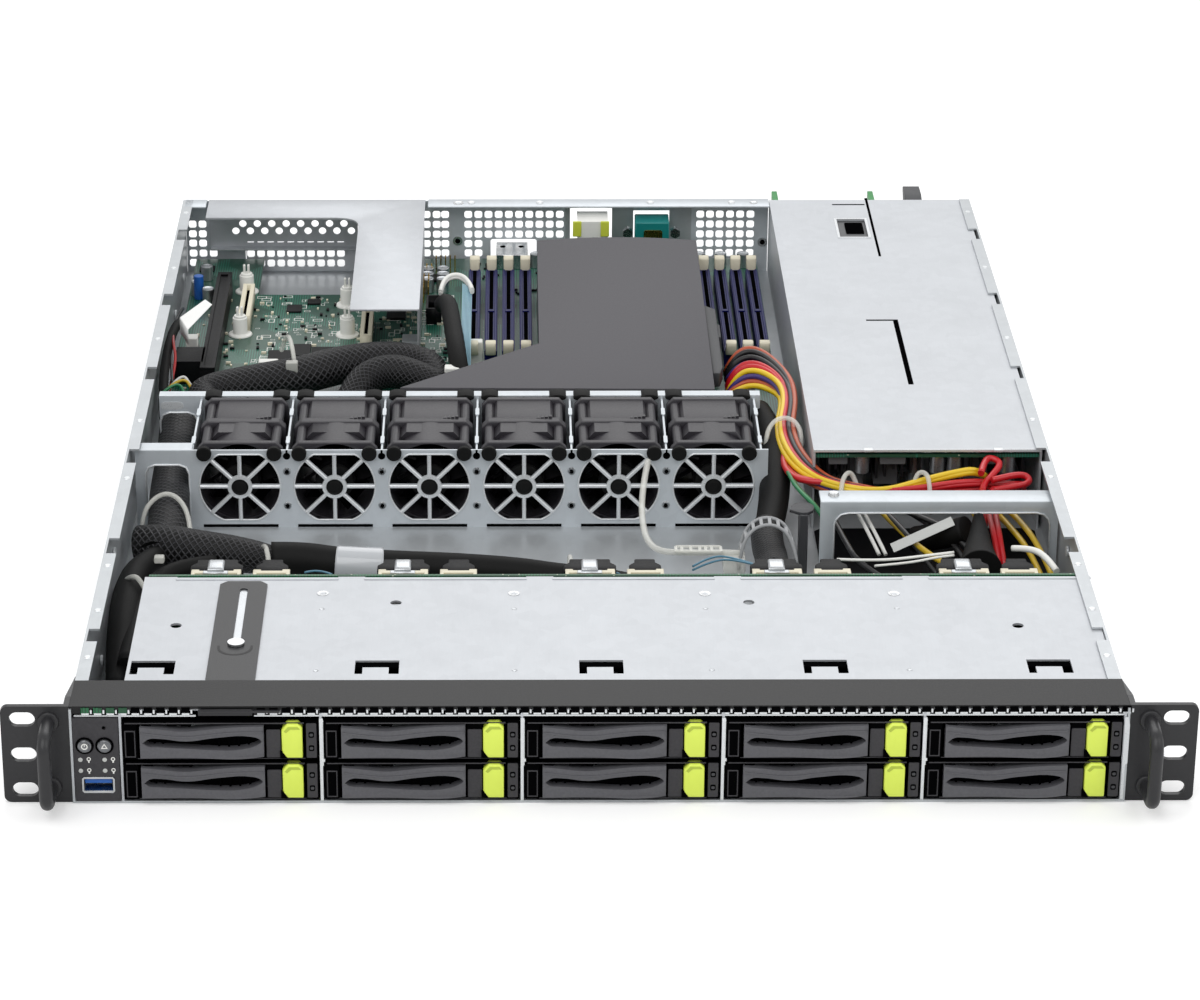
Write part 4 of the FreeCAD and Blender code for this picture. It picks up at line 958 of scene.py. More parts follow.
@dataclass
class DriveBays:
    """Cage with ten drive carriers, their levers and their lime latches."""

    left: float = -192.4
    pitch: float = 81.1
    low: float = 2.1
    rise: float = 18.2
    lid_top: float = 41.2
    columns: int = 5
    big_screws: tuple[Point, ...] = ((-116.1, 111.0), (-34.4, 110.7), (47.3, 110.3),
        (128.1, 110.0))

    def build(self) -> None:
        """Dresses the cage and builds the first bay's pieces, copied to the others."""
        carve("drive_cage", CHASSIS, lambda low,
            high: (Finishes.lid_steel if high.x - low.x > 50 else Finishes.tin))
        self.detail_lid()
        self.detail_tag()
        forms = {"lever": self.lever_form(), "bezel": self.bezel_form(),
            "latch": self.latch_form(), "lens": self.lens_form()}
        for bay in range(1, 11):
            self.fill_bay(bay, forms)
        for form in forms.values():
            bpy.data.objects.remove(form)

    def bay_shift(self, bay: int) -> Matrix:
        """Gives the shift from the first column's lower bay to this bay."""
        row = 1 if bay <= self.columns else 0
        return Matrix.Translation(((bay - 1) % self.columns * self.pitch * MM, 0,
            row * self.rise * MM))

    def fill_bay(self, bay: int, forms: dict[str, Piece]) -> None:
        """Puts copies of the forms in one bay.

        Args:
            bay: from 1, top row first.
            forms: lever, bezel, latch and lens forms of the first column's lower bay.
        """
        dress(f"drive_carrier_{bay}", Finishes.black_abs_and_hole_shade)
        shift = self.bay_shift(bay)
        rows = {"lever": (f"lever_{bay}", Finishes.lever_abs, [f"drive_lever_{bay}"]),
                "bezel": (f"carrier_{bay}", Finishes.bezel_abs, []),
                "latch": (f"latch_{bay}", Finishes.latch_lime, [f"drive_latch_{bay}"]),
                "lens": (f"carrier_{bay}", Finishes.lens, [])}
        for kind, (body, finish, nodes) in rows.items():
            piece = spread(f"{kind}_{bay}", forms[kind], [shift], keep=True)
            mount(piece, finish, *nodes, body=body)

    def lever_form(self) -> Piece:
        """Makes the ejector lever: a wavy grip round an eye-shaped window with ribs."""
        x, z = self.left, self.low
        outline = shifted(x, z, (7.3, 15.1), (16, 14.2, 1), (25, 13.3, 1), (34, 14.1, 1),
            (44, 15.1, 1), (57.2, 15.6), (57.2, 1.9), (50, 1, 1), (44.5, 0.75, 1), (37, 1, 1),
            (28, 1.35, 1), (7.3, 1.2))
        window = shifted(x, z, (8.3, 8), (10.8, 9.9, 1), (15, 10.1, 1), (26, 8.9, 1),
            (38, 10.5, 1), (52, 11, 1), (55.6, 9.7, 1), (56.4, 8.6), (54.6, 7.2, 1), (48, 5.2, 1),
            (38, 4.9, 1), (26, 5.6, 1), (14, 6.3, 1), (10.5, 6.6, 1))
        grip = plate("Lever", Axis.Y, -3.3, 1.5, outline, window)
        coat(soften(grip, 0.55), Finishes.lever_abs)
        ribs = [block("Rib", (x + u, 0.1, z + 4.4), (x + u + 0.8, 1.3, z + 11.2))
            for u in (12.5, 16, 38.5, 42.5, 46.5, 50.5)]
        web = block("Web", (x + 8.5, 1.2, z + 4), (x + 56.5, 1.5, z + 11.4))
        inner = coat(join("Inner", ribs + [web]), Finishes.black_abs_and_hole_shade)
        lips = [plate("Lip", Axis.Y, -3.55, -3.2, shifted(x, z, (8, 12.9), (25, 11.2, 1),
            (43, 13, 1), (56.6, 13.4), (56.6, 12.7), (43, 12.3, 1), (25, 10.5, 1), (8, 12.2)))]
        ridge = coat(join("Ridge", lips), Finishes.lever_abs)
        return join("LeverForm", [grip, inner, ridge])

    def bezel_form(self) -> Piece:
        """Makes the carrier's raised blocks, frame lines, recess details and light strip."""
        x, z = self.left, self.low
        frame_hole = box_outline(x + 1.5, z + 1.4, x + 4.9, z + 12.4)
        pale = [plate(name, Axis.Y, low, high, box_outline(
            x + u0, z + v0, x + u1, z + v1, corner), *holes)
                for name, low, high, u0, v0, u1, v1, corner, holes in (
                    ("Frame", -1.9, -1.2, 1, 0.9, 5.4, 12.9, 0, [frame_hole]),
                    ("Brow", -1.8, -1, 1.2, 15.9, 73.4, 16.4, 0, []),
                    ("Cheek", -2, -1.2, 58.1, 0.9, 63.9, 13.4, 0.3, []),
                    ("Strip", -2.1, -1.2, 74.2, 0.8, 78.4, 16.2, 0.3, []),
                    ("Sill", -1.75, -1.2, 6, 0.15, 73.8, 0.5, 0, []))]
        plates = coat(soften(join("Plates", pale), 0.12, 1), Finishes.bezel_abs)
        panel = plate("Panel", Axis.Y, -1.7, -1.3, frame_hole)
        spring = rod("Spring", Axis.Y, (x + 27, -0.2, z + 14.9), 1, 3, 12)
        catch = block("Catch", (x + 18, -1, z + 14.8), (x + 24, 2, z + 15.6))
        toe = plate("Foot", Axis.Y, -3, -1.3, shifted(
            x, z, (63.6, 1), (66.4, 1), (64.6, 4.2), (63.6, 4.2)))
        dark = [panel, spring, catch, toe]
        return join("BezelForm", [plates, coat(join("Dark", dark), Finishes.black_abs_and_hole_shade)])

    def latch_form(self) -> Piece:
        """Makes the thumb latch: a block with a chamfered corner, and a darker lime facet there as
        painted shade.
        """
        x, z = self.left, self.low
        thumb = plate("Latch", Axis.Y, -2.7, 1.6, shifted(x, z, (66.3, 1.25), (72.7, 1.25),
            (72.7, 14.5), (71, 16.2), (66.6, 16.2), (64.35, 13.6), (64.35, 3.8)))
        press(thumb, "-y", (0.5, (0.25, -0.5, -0.3)))
        coat(soften(thumb, 0.2, 1), Finishes.latch_lime)
        # Darker lime band over the chamfered corner: painted shade.
        facet = plate("Facet", Axis.Y, -3.32, -3, shifted(x, z, (65.3, 13.3), (67, 15.3),
            (70.9, 15.3), (71.9, 14.2), (68, 14.2), (66.2, 12.6)))
        return join("LatchForm", [thumb, coat(facet, Finishes.latch_shade)])

    def lens_form(self) -> Piece:
        """Makes the two small activity lights of the strip, each in a dark well."""
        x, z = self.left, self.low
        wells, lights = [], []
        for height in (5.2, 11.2):
            wells.append(plate("Well", Axis.Y, -2.2, -2.05,
                box_outline(x + 75.2, z + height - 1.3, x + 77.4, z + height + 1.3, 0.4)))
            lights.append(plate("Light", Axis.Y, -2.35, -2.15,
                box_outline(x + 75.6, z + height - 0.6, x + 77, z + height + 0.6, 0.3)))
        return join("LensForm", [coat(join("Wells", wells), Finishes.black_abs_and_hole_shade),
            coat(join("Lights", lights), Finishes.grip_grey)])

    def detail_lid(self) -> None:
        """Adds screws, pierced dots, painted shade under the catch cut-outs, and flaps to the
        cage's lid.
        """
        top = self.lid_top
        heads = [screw("Head", x, y, top, 2.6) for x, y in self.big_screws]
        fit("lid_screws", heads, Finishes.tin)
        dots = []
        for y in (36.5, 95.5):
            for x in (-115.8, -34.2, 46.9, 128.1):
                dot = rod("Dot", Axis.Z, (x, y, top), 1.2, 0.15, 14, 1)
                press(dot, "+z", (0.35, (0, 0, -0.12)))
                dots.append(dot)
        fit("lid_dimples", dots, Finishes.can)
        # Near-black plates under the lid's catch cut-outs: painted shade.
        shades = [plate("Shade", Axis.Z, 39.2, 40.4, box_outline(x + 0.1, 41.4, x + 18.1, 45.9))
            for x in (-192.2 + 92.3 * c for c in range(self.columns))]
        fit("lid_catch_painted_shade", shades, Finishes.black_abs_and_hole_shade)
        flaps = []
        for column in range(self.columns):
            x = self.left + self.pitch * column
            flaps.append(plate("Flap", Axis.Z, top - 0.05, top + 0.35,
                box_outline(x + 12.4, 124.6, x + 82.4, 126.6, 0.3)))
        fit("lid_rear_folds", flaps, Finishes.lid_steel)
        corners = [plate("Flange", Axis.Y, -1.2, -0.9, outline) for outline in ([(x + 79.5, 1.2),
            (x + 80.7, 1.2), (x + 80.7, 16.8), (x + 81.6, 17.6), (x + 81.6, 35), (x + 80.9, 38.4),
            (x + 79.5, 38.4)] for x in (self.left + self.pitch * c for c in range(self.columns)))]
        fit("divider_flanges", corners, Finishes.edge_steel)

    def detail_tag(self) -> None:
        """Dresses the pull-out strip, with its pressed arc and turned-down head."""
        dress("info_tag", Finishes.ear_coat)
        arc = plate("tag_arc", Axis.Z, self.lid_top + 0.72, self.lid_top + 0.86, [(-157.6, 58.5),
            (-157.2, 54, 1), (-154.4, 50.6, 1), (-150.2, 49.4, 1), (-146, 50.6, 1),
            (-143.2, 54, 1), (-142.8, 58.5), (-143.8, 58.5), (-144.3, 54.6, 1), (-146.8, 51.6, 1),
            (-150.2, 50.5, 1), (-153.7, 51.6, 1), (-156.2, 54.6, 1), (-156.6, 58.5)])
        mount(arc, Finishes.black_coat, body="info_tag")
        head = soften(block("tag_head", (-161.5, -1.5, 39.7), (-139.6, -0.5, 42.4)), 0.3)
        mount(head, Finishes.ear_coat, body="info_tag")
        floor = plate("tag_slot_floor", Axis.Z, self.lid_top, self.lid_top + 0.15,
            box_outline(-151.5, 58.5, -148.5, 112.8, 0.6))
        mount(floor, Finishes.can)


# ---------------- control panel

@dataclass
class ControlPanel:
    """Narrow panel with two buttons, four lights, a pin hole and a port."""

    buttons: tuple[tuple[str, float], ...] = (("power", -207.6), ("locate", -199.6))
    button_z: float = 26.5

    def build(self) -> None:
        """Dresses the panel's solids and adds its rings, lights and generic signs."""
        carve("control_panel", CHASSIS, self.finish_of, 0.12)
        for name, x in self.buttons:
            self.top_button(name, x)
        self.light_panel()

    @staticmethod
    def finish_of(low: Vector, high: Vector) -> Finish:
        """Gives the finish of one of the panel's solids from its corners."""
        if high.z > 40:
            return Finishes.board_mask
        return Finishes.bezel_abs if high.z > 20 else Finishes.tin

    def top_button(self, name: str, x: float) -> None:
        """Makes a domed steel button with a turned rim, and its pressed sign.

        Args:
            name: which button.
            x: its middle, in mm.
        """
        cap = rod(f"{name}_button_cap", Axis.Y, (x, -2.4, self.button_z), 2.75, 11.3, 28)
        press(cap, "-y", (0.45, (0, -0.3, 0)), (0.5, (0, 0.25, 0)))
        smooth(35)
        mount(cap, Finishes.button_steel, f"{name}_button", body=f"{name}_button")
        ring = plate(f"{name}_button_ring", Axis.Y, -1.75, -1.45,
            ring_outline(x, self.button_z, 3.7), ring_outline(x, self.button_z, 3.1))
        mount(ring, Finishes.black_abs_and_hole_shade)
        z = self.button_z
        if name == "power":
            sign = plate("power_sign", Axis.Y, -2.62, -2.5, ring_outline(x, z, 1.35),
                ring_outline(x, z, 0.9))
            bar = block("Bar", (x - 0.18, -2.64, z), (x + 0.18, -2.5, z + 1.4))
            sign = join("power_sign", [sign, bar])
        else:
            sign = plate("locate_sign", Axis.Y, -2.62, -2.5,
                [(x - 1.4, z - 0.9), (x + 1.4, z - 0.9), (x, z + 1.4)],
                [(x - 0.8, z - 0.55), (x + 0.8, z - 0.55), (x, z + 0.75)])
        mount(sign, Finishes.white_nylon, body=f"{name}_button")

    def light_panel(self) -> None:
        """Adds the four light lenses with small signs beside them, and the port's tongue."""
        lenses, signs = [], []
        for x in (-209.6, -199.8):
            for z in (20.1, 15.1):
                lens = rod("Lens", Axis.Y, (x, -1.75, z), 0.95, 0.5, 18, 0.95)
                lenses.append(soften(lens, 0.15))
                signs.append(plate("Sign", Axis.Y, -1.62, -1.48,
                    ring_outline(x + 3.4, z + 0.3, 0.85, 6),
                    ring_outline(x + 3.4, z + 0.3, 0.5, 6)))
                signs.append(block("Sign", (x + 3.1, -1.62, z - 1.3), (x + 3.7, -1.5, z - 0.5)))
        fit("panel_lights", lenses, Finishes.lens)
        fit("panel_signs", signs, Finishes.white_nylon)
        tongue = block("port_tongue", (-208.2, -0.9, 9.1), (-197.2, 8, 10.9))
        mount(soften(tongue, 0.2), Finishes.port_blue)
        mouth = plate("port_mouth", Axis.Y, -1.85, -1.45,
            box_outline(-209.3, 5.1, -196.1, 12.3, 0.8),
            box_outline(-208.6, 5.9, -196.8, 11.5, 0.2))
        mount(mouth, Finishes.tin)


# ---------------- backplane

@dataclass
class Backplane:
    """Upright board behind the bays, with cable sockets along its rear."""

    left: float = -191.9
    pitch: float = 81.1
    rear: float = 130.1
    top: float = 40.2

    def build(self) -> None:
        """Stands for the CAD board and adds the sockets with their plugs and clips."""
        carve("backplane", CHASSIS, lambda low, high: (Finishes.backplane_mask
            if high.x - low.x > 100 else Finishes.black_nylon if low.y < 125 else None))
        bases, plugs, clips, labels = [], [], [], []
        for column in range(5):
            x = self.left + self.pitch * column
            bases += [self.base(x + 28.4, 10.8), self.base(x + 52.4, 8)]
            plugs += [self.plug(x + 28.4, 11.4), self.plug(x + 52.4, 7)]
            clips.append(self.clip(x + 28.2))
            labels.append(plate("Tab", Axis.Z, 38.4, 38.9, shifted(x, 0, (49, 141.5),
                (55.8, 141.5), (54.4, 146.4), (50.4, 146.4))))
        fit("cable_socket_bases", bases, Finishes.ivory_nylon)
        fit("cable_plugs", plugs, Finishes.black_nylon)
        fit("cable_clips", clips, Finishes.can)
        fit("cable_tabs", labels, Finishes.ivory_nylon)
        self.add_small_parts()

    def base(self, x: float, half: float) -> Piece:
        """Makes a socket's pale base with its keyways.

        Args:
            x: its middle, in mm.
            half: half its width.
        """
        outline = [(x - half, self.rear), (x + half, self.rear), (x + half, self.rear + 8),
            (x + half - 3.4, self.rear + 8), (x + half - 3.4, self.rear + 6.6),
            (x - half + 3.4, self.rear + 6.6), (x - half + 3.4, self.rear + 8),
            (x - half, self.rear + 8)]
        body = plate("Base", Axis.Z, 27, self.top, outline, box_outline(x - half + 1.6,
            self.rear + 2, x + half - 1.6, self.rear + 4.4))
        return soften(body, 0.25, 1)

    def plug(self, x: float, half: float) -> Piece:
        """Makes the dark plug behind a base, its shoulders cut back; arguments as for base."""
        y = self.rear + 7
        outline = [(x - half, y), (x + half, y), (x + half, y + 6), (x + half - 2.5, y + 9),
            (x + half - 2.5, y + 12), (x - half + 2.5, y + 12), (x - half + 2.5, y + 9),
            (x - half, y + 6)]
        return soften(plate("Plug", Axis.Z, 28, self.top - 0.5, outline), 0.5)

    def clip(self, x: float) -> Piece:
        """Makes the sprung steel clip over a large plug; x is its middle, in mm."""
        y = self.rear
        clip = block("Clip", (x - 3.6, y + 5.2, self.top - 0.2), (x + 3.6, y + 14.5, self.top + 1))
        press(clip, "+z", (0.8, (0, 0.6, 0.7)))
        foot = block("Foot", (x - 5.4, y + 3.4, self.top - 1), (x + 5.4, y + 6, self.top + 0.3))
        return join("Clip", [soften(clip, 0.25), soften(foot, 0.2, 1)])

    def add_small_parts(self) -> None:
        """Adds small board parts on the rear face of the board."""
        random.seed(11)
        form = block("Part", (-0.9, 0, -0.5), (0.9, 0.9, 0.5))
        places = [about(self.left + random.uniform(4, 396), self.rear, random.uniform(8, 24),
            random.choice((0, 90)), "Y") for _ in range(110)]
        mount(spread("backplane_parts", form, places), Finishes.chip_epoxy)


# ---------------- fan wall

@dataclass
class FanWall:
    """Six two-stage fans between a grilled wall and a rear wall."""

    first: float = -162.0
    pitch: float = 44.16
    axis_z: float = 21.9
    front: float = 275.0
    bore: float = 18.8
    wall: float = 269.5
    wall_rear: float = 336.0
    wall_top: float = 40.2
    fans: int = 6

    def middles(self) -> list[float]:
        """Gives the X of each fan's axis, in mm."""
        return [self.first + self.pitch * fan for fan in range(self.fans)]

    def build(self) -> None:
        """Dresses the bracket and rotors, and builds housings, grille beads and mounts."""
        dress("fan_bracket", Finishes.bracket_steel)
        for fan in range(1, self.fans + 1):
            dress(f"fan_rotor_{fan}", Finishes.rotor_nylon)
        shifts = [(self.pitch * fan, 0, 0) for fan in range(self.fans)]
        mount(spread("fan_bodies", self.housing_form(), shifts), Finishes.fan_nylon,
            "fan_housings")
        mount(spread("grille_beads", self.grille_form(), shifts), Finishes.edge_steel)
        mount(spread("motor_caps", self.motor_form(), shifts), Finishes.soft_rubber)
        mount(spread("rubber_mounts", self.rubber_form(), shifts), Finishes.soft_rubber)
        self.add_partitions()
        self.add_rivets()
        self.rim_windows()

    def housing_form(self) -> Piece:
        """Makes the first fan's body: three flanges, a round and a flat-topped barrel."""
        x, z, y = self.first, self.axis_z, self.front
        parts = []
        square = box_outline(x - 20, z - 19.9, x + 20, z + 19.7, 3.2)
        hole = ring_outline(x, z, self.bore, 16)
        for start, deep in ((0, 3.4), (25.2, 5.6), (52.6, 3.4)):
            flange = plate("Flange", Axis.Y, y + start, y + start + deep, square, hole)
            parts.append(soften(flange, 0.7))
        barrel = plate("Barrel", Axis.Y, y + 3, y + 26, ring_outline(x, z, 19.55, 16), hole)
        parts.append(soften(barrel, 0.2, 1))
        flat = shifted(x, z, (-12.6, 19.3), (12.6, 19.3), (16.6, 12.8), (19.4, 5), (19.4, -5),
            (14.5, -14), (8, -19.5), (-8, -19.5), (-14.5, -14), (-19.4, -5), (-19.4, 5),
            (-16.6, 12.8))
        parts.append(soften(plate("Plateau", Axis.Y, y + 30, y + 53, flat, hole), 0.5))
        brow = [(x - 17, z + 12.5), (x - 9, z + 17, 1), (x, z + 18.2, 1), (x + 9, z + 17, 1),
            (x + 17, z + 12.5), (x + 11, z + 19.2), (x - 11, z + 19.2)]
        cowl = plate("Cowl", Axis.Y, y + 14, y + 26, brow)
        parts.append(soften(cowl, 0.6))
        for u in (-16.2, 16.2):
            for v in (-16, 16):
                post = rod("Post", Axis.Y, (x + u, y + 1, z + v), 2.3, 54, 14)
                parts.append(post)
                nose = rod("Nose", Axis.Y, (x + u, y + 3.2, z + v), 3.1, 2, 16, 2.3)
                parts.append(nose)
        for index in range(4):
            tooth = plate("Tooth", Axis.Z, z + 18.6, z + 19.9 + 0.25 * index,
                [(x + 6 + index * 1.9, y + 29.4), (x + 7.6 + index * 1.9, y + 29.4),
                (x + 7.2 + index * 1.9, y + 33.2 - 0.4 * index)])
            parts.append(tooth)
        bridge = plate("Bridge", Axis.Y, y + 27, y + 29, ring_outline(x, z, 9.5, 12))
        parts.append(bridge)
        for turn in range(5):
            arm = block("Arm", (-0.8, y + 27, 9), (0.8, y + 29, self.bore + 0.4))
            arm.data.transform(about(x, 0, z, 72 * turn + 20, "Y"))
            parts.append(arm)
        return join("HousingForm", parts)

    def grille_form(self) -> Piece:
        """Makes the first grille's raised spokes, hub ring and rolled rim."""
        x, z, y = self.first, self.axis_z, self.wall
        parts = []
        for turn in range(8):
            angle = math.radians(45 * turn)
            reach = 15.6 if turn == 2 else 16.8 if turn == 6 else 18.6
            line = [Vector((x + math.cos(angle) * r, y - 0.05, z + math.sin(angle) * r)) * MM
                for r in (5, 9, 13, reach)]
            parts.append(tube("Spoke", line, 0.98, 10))
        hub = plate("Hub", Axis.Y, y - 0.95, y + 0.4, ring_outline(x, z, 5.75, 12),
            ring_outline(x, z, 3.95, 12))
        parts.append(soften(hub, 0.42, 3))
        rim = []
        for step in range(73):
            angle = math.radians(5 * step)
            u, v = 18.9 * math.cos(angle), 18.9 * math.sin(angle)
            v = min(max(v, -17), 16.2)
            rim.append(Vector((x + u, y - 0.1, z + v)) * MM)
        parts.append(tube("Rim", rim, 0.42, 8))
        return join("GrilleForm", parts)

    def motor_form(self) -> Piece:
        """Makes the ribbed black cap that shows through a grille's hub."""
        x, z, y = self.first, self.axis_z, self.wall
        cap = rod("Cap", Axis.Y, (x, y - 1.2, z), 3.9, 4.4, 24)
        press(cap, "-y", (0.7, (0, 0.4, 0)), (1.2, (0, -0.3, 0)))
        stalk = rod("Stalk", Axis.Y, (x, y + 4, z), 8.6, 3, 24, 8.9)
        return join("MotorForm", [cap, soften(stalk, 0.6)])

    def rubber_form(self) -> Piece:
        """Makes the four rubber pads that hold the first fan in its walls."""
        x, z = self.first, self.axis_z
        parts = []
        for side in (-1, 1):
            disc = rod("Disc", Axis.Y, (x + side * 16.3, self.wall - 2, z + 17), 3.5, 2.2, 24)
            press(disc, "-y", (0.6, (0, -0.25, 0)))
            parts.append(disc)
            saddle = rod("Saddle", Axis.Y,
                (x + side * 16.3, self.wall_rear - 2.4, self.wall_top - 0.9), 4.2, 8.4, 20)
            saddle.data.transform(Matrix.Translation((0, 0, self.wall_top * MM * 0.62))
                @ Matrix.Diagonal((1, 1, 0.38, 1)))
            parts.append(soften(saddle, 0.5))
        return join("RubberForm", parts)

    def add_partitions(self) -> None:
        """Adds the thin plates between the fans, each with a folded tab at its ends."""
        plates = []
        for middle in [self.middles()[0] - self.pitch / 2] + [m + self.pitch / 2
                for m in self.middles()]:
            plates.append(block("Plate", (middle - 0.45, self.wall + 1.2, 2.2),
                (middle + 0.45, self.wall_rear - 0.2, 38.8)))
            for y in (284, 318):
                tab = plate("Tab", Axis.Z, 38.6, 39.6,
                    box_outline(middle - 0.9, y - 4, middle + 0.9, y + 4, 0.5))
                plates.append(tab)
        fit("fan_partitions", plates, Finishes.bracket_steel)
        # Near-black keyholes on the wall between the fans: painted shade.
        keys = []
        for middle in [m + self.pitch / 2 for m in self.middles()[:-1]]:
            keys.append(rod("Key", Axis.Y, (middle, self.wall - 0.12, 37.2), 1.7, 0.3, 18))
            keys.append(block("Slit", (middle - 0.45, self.wall - 0.12, 37.4),
                (middle + 0.45, self.wall + 0.15, self.wall_top + 0.05)))
        fit("wall_keyholes", keys, Finishes.black_abs_and_hole_shade)
        # Near-black strips in the gaps at the wall's foot: painted shade.
        foot_gap_shade = [block("Gap", (m - 17.5, self.wall - 0.14, 1.2), (m + 17.5, self.wall + 0.1, 2.6))
            for m in self.middles()]
        fit("wall_foot_gaps", foot_gap_shade, Finishes.black_abs_and_hole_shade)

    def add_rivets(self) -> None:
        """Adds the hollow rivets between the fan openings, in the front wall."""
        form = rod("Rivet", Axis.Y, (0, self.wall - 0.7, 0), 1.5, 0.8, 20, 2)
        press(form, "-y", (0.5, (0, 0.9, 0)))
        smooth(35)
        spots = [(m + self.pitch / 2, 0, z) for m in self.middles()[:-1] for z in (29.5, 12.2)]
        mount(spread("wall_rivets_front", form, spots), Finishes.tin)
        # A near-black disc in each rivet's bore: painted shade.
        core = rod("Core", Axis.Y, (0, self.wall - 0.78, 0), 0.95, 0.3, 14)
        mount(spread("rivet_holes", core, spots), Finishes.black_abs_and_hole_shade)

    def rim_windows(self) -> None:
        """Adds rolled rims to the two cable windows, and the oblong hole behind."""
        rims = []
        for y, left, right, top in ((self.wall - 0.2, -205.7, -185.5, 32.9),
                (self.wall_rear - 0.2, -204.2, -186.3, 31.7)):
            line = [(left, y, 7), (left, y, top - 4.5), (left + 1.3, y, top - 1.3),
                (left + 4.5, y, top), (right - 4.5, y, top), (right - 1.3, y, top - 1.3),
                (right, y, top - 4.5), (right, y, 7)]
            rims.append(tube("Rim", [Vector(p) * MM for p in line], 0.5, 8))
        fit("cable_window_rims", rims, Finishes.edge_steel)
        slot = plate("wall_oblong_hole", Axis.Y, self.wall_rear - 0.15, self.wall_rear + 0.1,
            [(-208.6, 34.6), (-208, 36.4, 1), (-206.2, 37.2), (-199.4, 37.2), (-197.8, 36.4, 1),
            (-197.2, 34.6), (-198.4, 33.6, 1), (-200.4, 33.2), (-205.8, 33.2), (-207.6, 33.6, 1)])
        slot.data.transform(Matrix.Translation((4.5 * MM, 0, 0)))
        mount(slot, Finishes.edge_steel)


# ---------------- main board

@dataclass
class MainBoard:
    """Main board with memory sockets, card slots, posts, connectors and small parts."""

    top: float = 9.8
    banks: tuple[Point, ...] = ((-54.9, 9.0), (67.6, 8.5))

    def build(self) -> None:
        """Stands for the CAD board by finish, then adds its details."""
        carve("motherboard", CHASSIS, self.finish_of, 0)
        board = plate("board_laminate", Axis.Z, 8.2, self.top, [(-207, 352), (98, 352), (98, 607),
            (-119, 607), (-119, 552), (-170, 552), (-170, 607), (-207, 607)])
        mount(board, Finishes.board_mask)
        self.detail_memory()
        self.raise_posts()
        self.place_slots()
        self.scatter_parts()
        self.dress_ports()

    @staticmethod
    def finish_of(low: Vector, high: Vector) -> Finish | None:
        """Gives a solid's finish from its corners, or None where a detailed piece stands."""
        size = high - low
        if size.x > 200 or size.x < 9 and (size.y < 9 or size.y > 50):
            return None
        if size.x > 60:
            return Finishes.sink
        return None if low.y > 585 else Finishes.black_nylon

    def socket_middles(self) -> list[float]:
        """Gives the X of every memory socket, in mm."""
        return [start + pitch * index for start, pitch in self.banks for index in range(4)]

    def detail_memory(self) -> None:
        """Adds the sockets' paired rails, keyed slots and latch levers."""
        rails, slots, levers = [], [], []
        top = self.top + 8.5
        for x in self.socket_middles():
            rails.append(block("Socket", (x - 3.2, 449, self.top), (x + 3.2, 566, top)))
            for side in (-1, 1):
                rails.append(soften(block("Rail", (x + side * 2.3 - 0.55, 449.4, top - 0.2),
                    (x + side * 2.3 + 0.55, 565.6, top + 0.7)), 0.2, 1))
            # Near-black strips along each socket's slot: painted shade.
            for start, end in ((450, 504), (506.5, 565)):
                slots.append(block("Slot", (x - 1, start, top - 0.4), (x + 1, end, top + 0.12)))
            rails.append(block("Key", (x - 1.6, 504, top), (x + 1.6, 506.5, top + 0.6)))
            for y, sense in ((446.2, -1), (568.8, 1)):
                arm = plate("Latch", Axis.X, x - 2.6, x + 2.6, [(y - sense * 2.6, self.top + 8),
                    (y - sense * 2.6, self.top + 14.6), (y + sense * 0.4, self.top + 15.6),
                    (y + sense * 3.2, self.top + 14.8), (y + sense * 3.4, self.top + 12.8),
                    (y + sense * 2.2, self.top + 8)])
                levers.append(soften(arm, 0.35, 1))
        fit("memory_rails", rails, Finishes.navy_nylon)
        fit("memory_slots", slots, Finishes.black_abs_and_hole_shade)
        fit("memory_latches", levers, Finishes.ivory_nylon)

    def raise_posts(self) -> None:
        """Makes the nylon card supports, each with a flange, a drum and a split tip."""
        drum = rod("Drum", Axis.Z, (0, 0, 0), 6.4, 0.9, 28, 6)
        with editing(drum):
            pick_faces(drum, "+z")
            bpy.ops.mesh.inset(thickness=1.6 * MM)
            bpy.ops.transform.translate(value=(0, 0, 0.3 * MM))
            bpy.ops.mesh.inset(thickness=0.6 * MM)
            bpy.ops.mesh.extrude_region_move(TRANSFORM_OT_translate={"value": (0, 0, 8.4 * MM)})
            bpy.ops.mesh.inset(thickness=0.7 * MM)
            bpy.ops.mesh.extrude_region_move(TRANSFORM_OT_translate={"value": (0, 0, 1.2 * MM)})
            bpy.ops.mesh.inset(thickness=1 * MM)
        soften(drum, 0.3)
        tips = [soften(block("Tip", (u - 0.6, -1.2, 9.5), (u + 0.6, 1.2, 15.4)), 0.3, 1)
            for u in (-1.1, 1.1)]
        post = join("Post", [drum] + tips)
        spots = [(-176.2, 494, self.top), (-120.5, 493, self.top), (-176.5, 556.5, self.top),
            (-122, 536, self.top)]
        mount(spread("nylon_posts", post, spots), Finishes.white_nylon)

    def place_slots(self) -> None:
        """Adds the long black card slot's mouth and the two ivory slots."""
        mouth = [block("Body", (-191.5, 418, self.top), (-184, 554, self.top + 11.1)),
            plate("Mouth", Axis.Z, self.top + 11, self.top + 12.2,
            box_outline(-191.5, 418, -184, 554), box_outline(-189.7, 421, -185.8, 551))]
        fit("card_slot_mouth", mouth, Finishes.black_nylon)
        ivory, dark = [], []
        for x, start, end in ((-174.4, 497, 545), (-110.2, 470, 512)):
            ivory.append(plate("Narrow", Axis.Z, self.top, self.top + 9,
                box_outline(x - 3, start, x + 3, end),
                box_outline(x - 1, start + 2, x + 1, end - 2)))
            # Near-black floors inside the narrow slots: painted shade.
            dark.append(block("Floor", (x - 1.1, start + 1, self.top + 0.4),
                (x + 1.1, end - 1, self.top + 6)))
        fit("narrow_slots", ivory, Finishes.ivory_nylon)
        fit("narrow_slot_floors", dark, Finishes.black_abs_and_hole_shade)

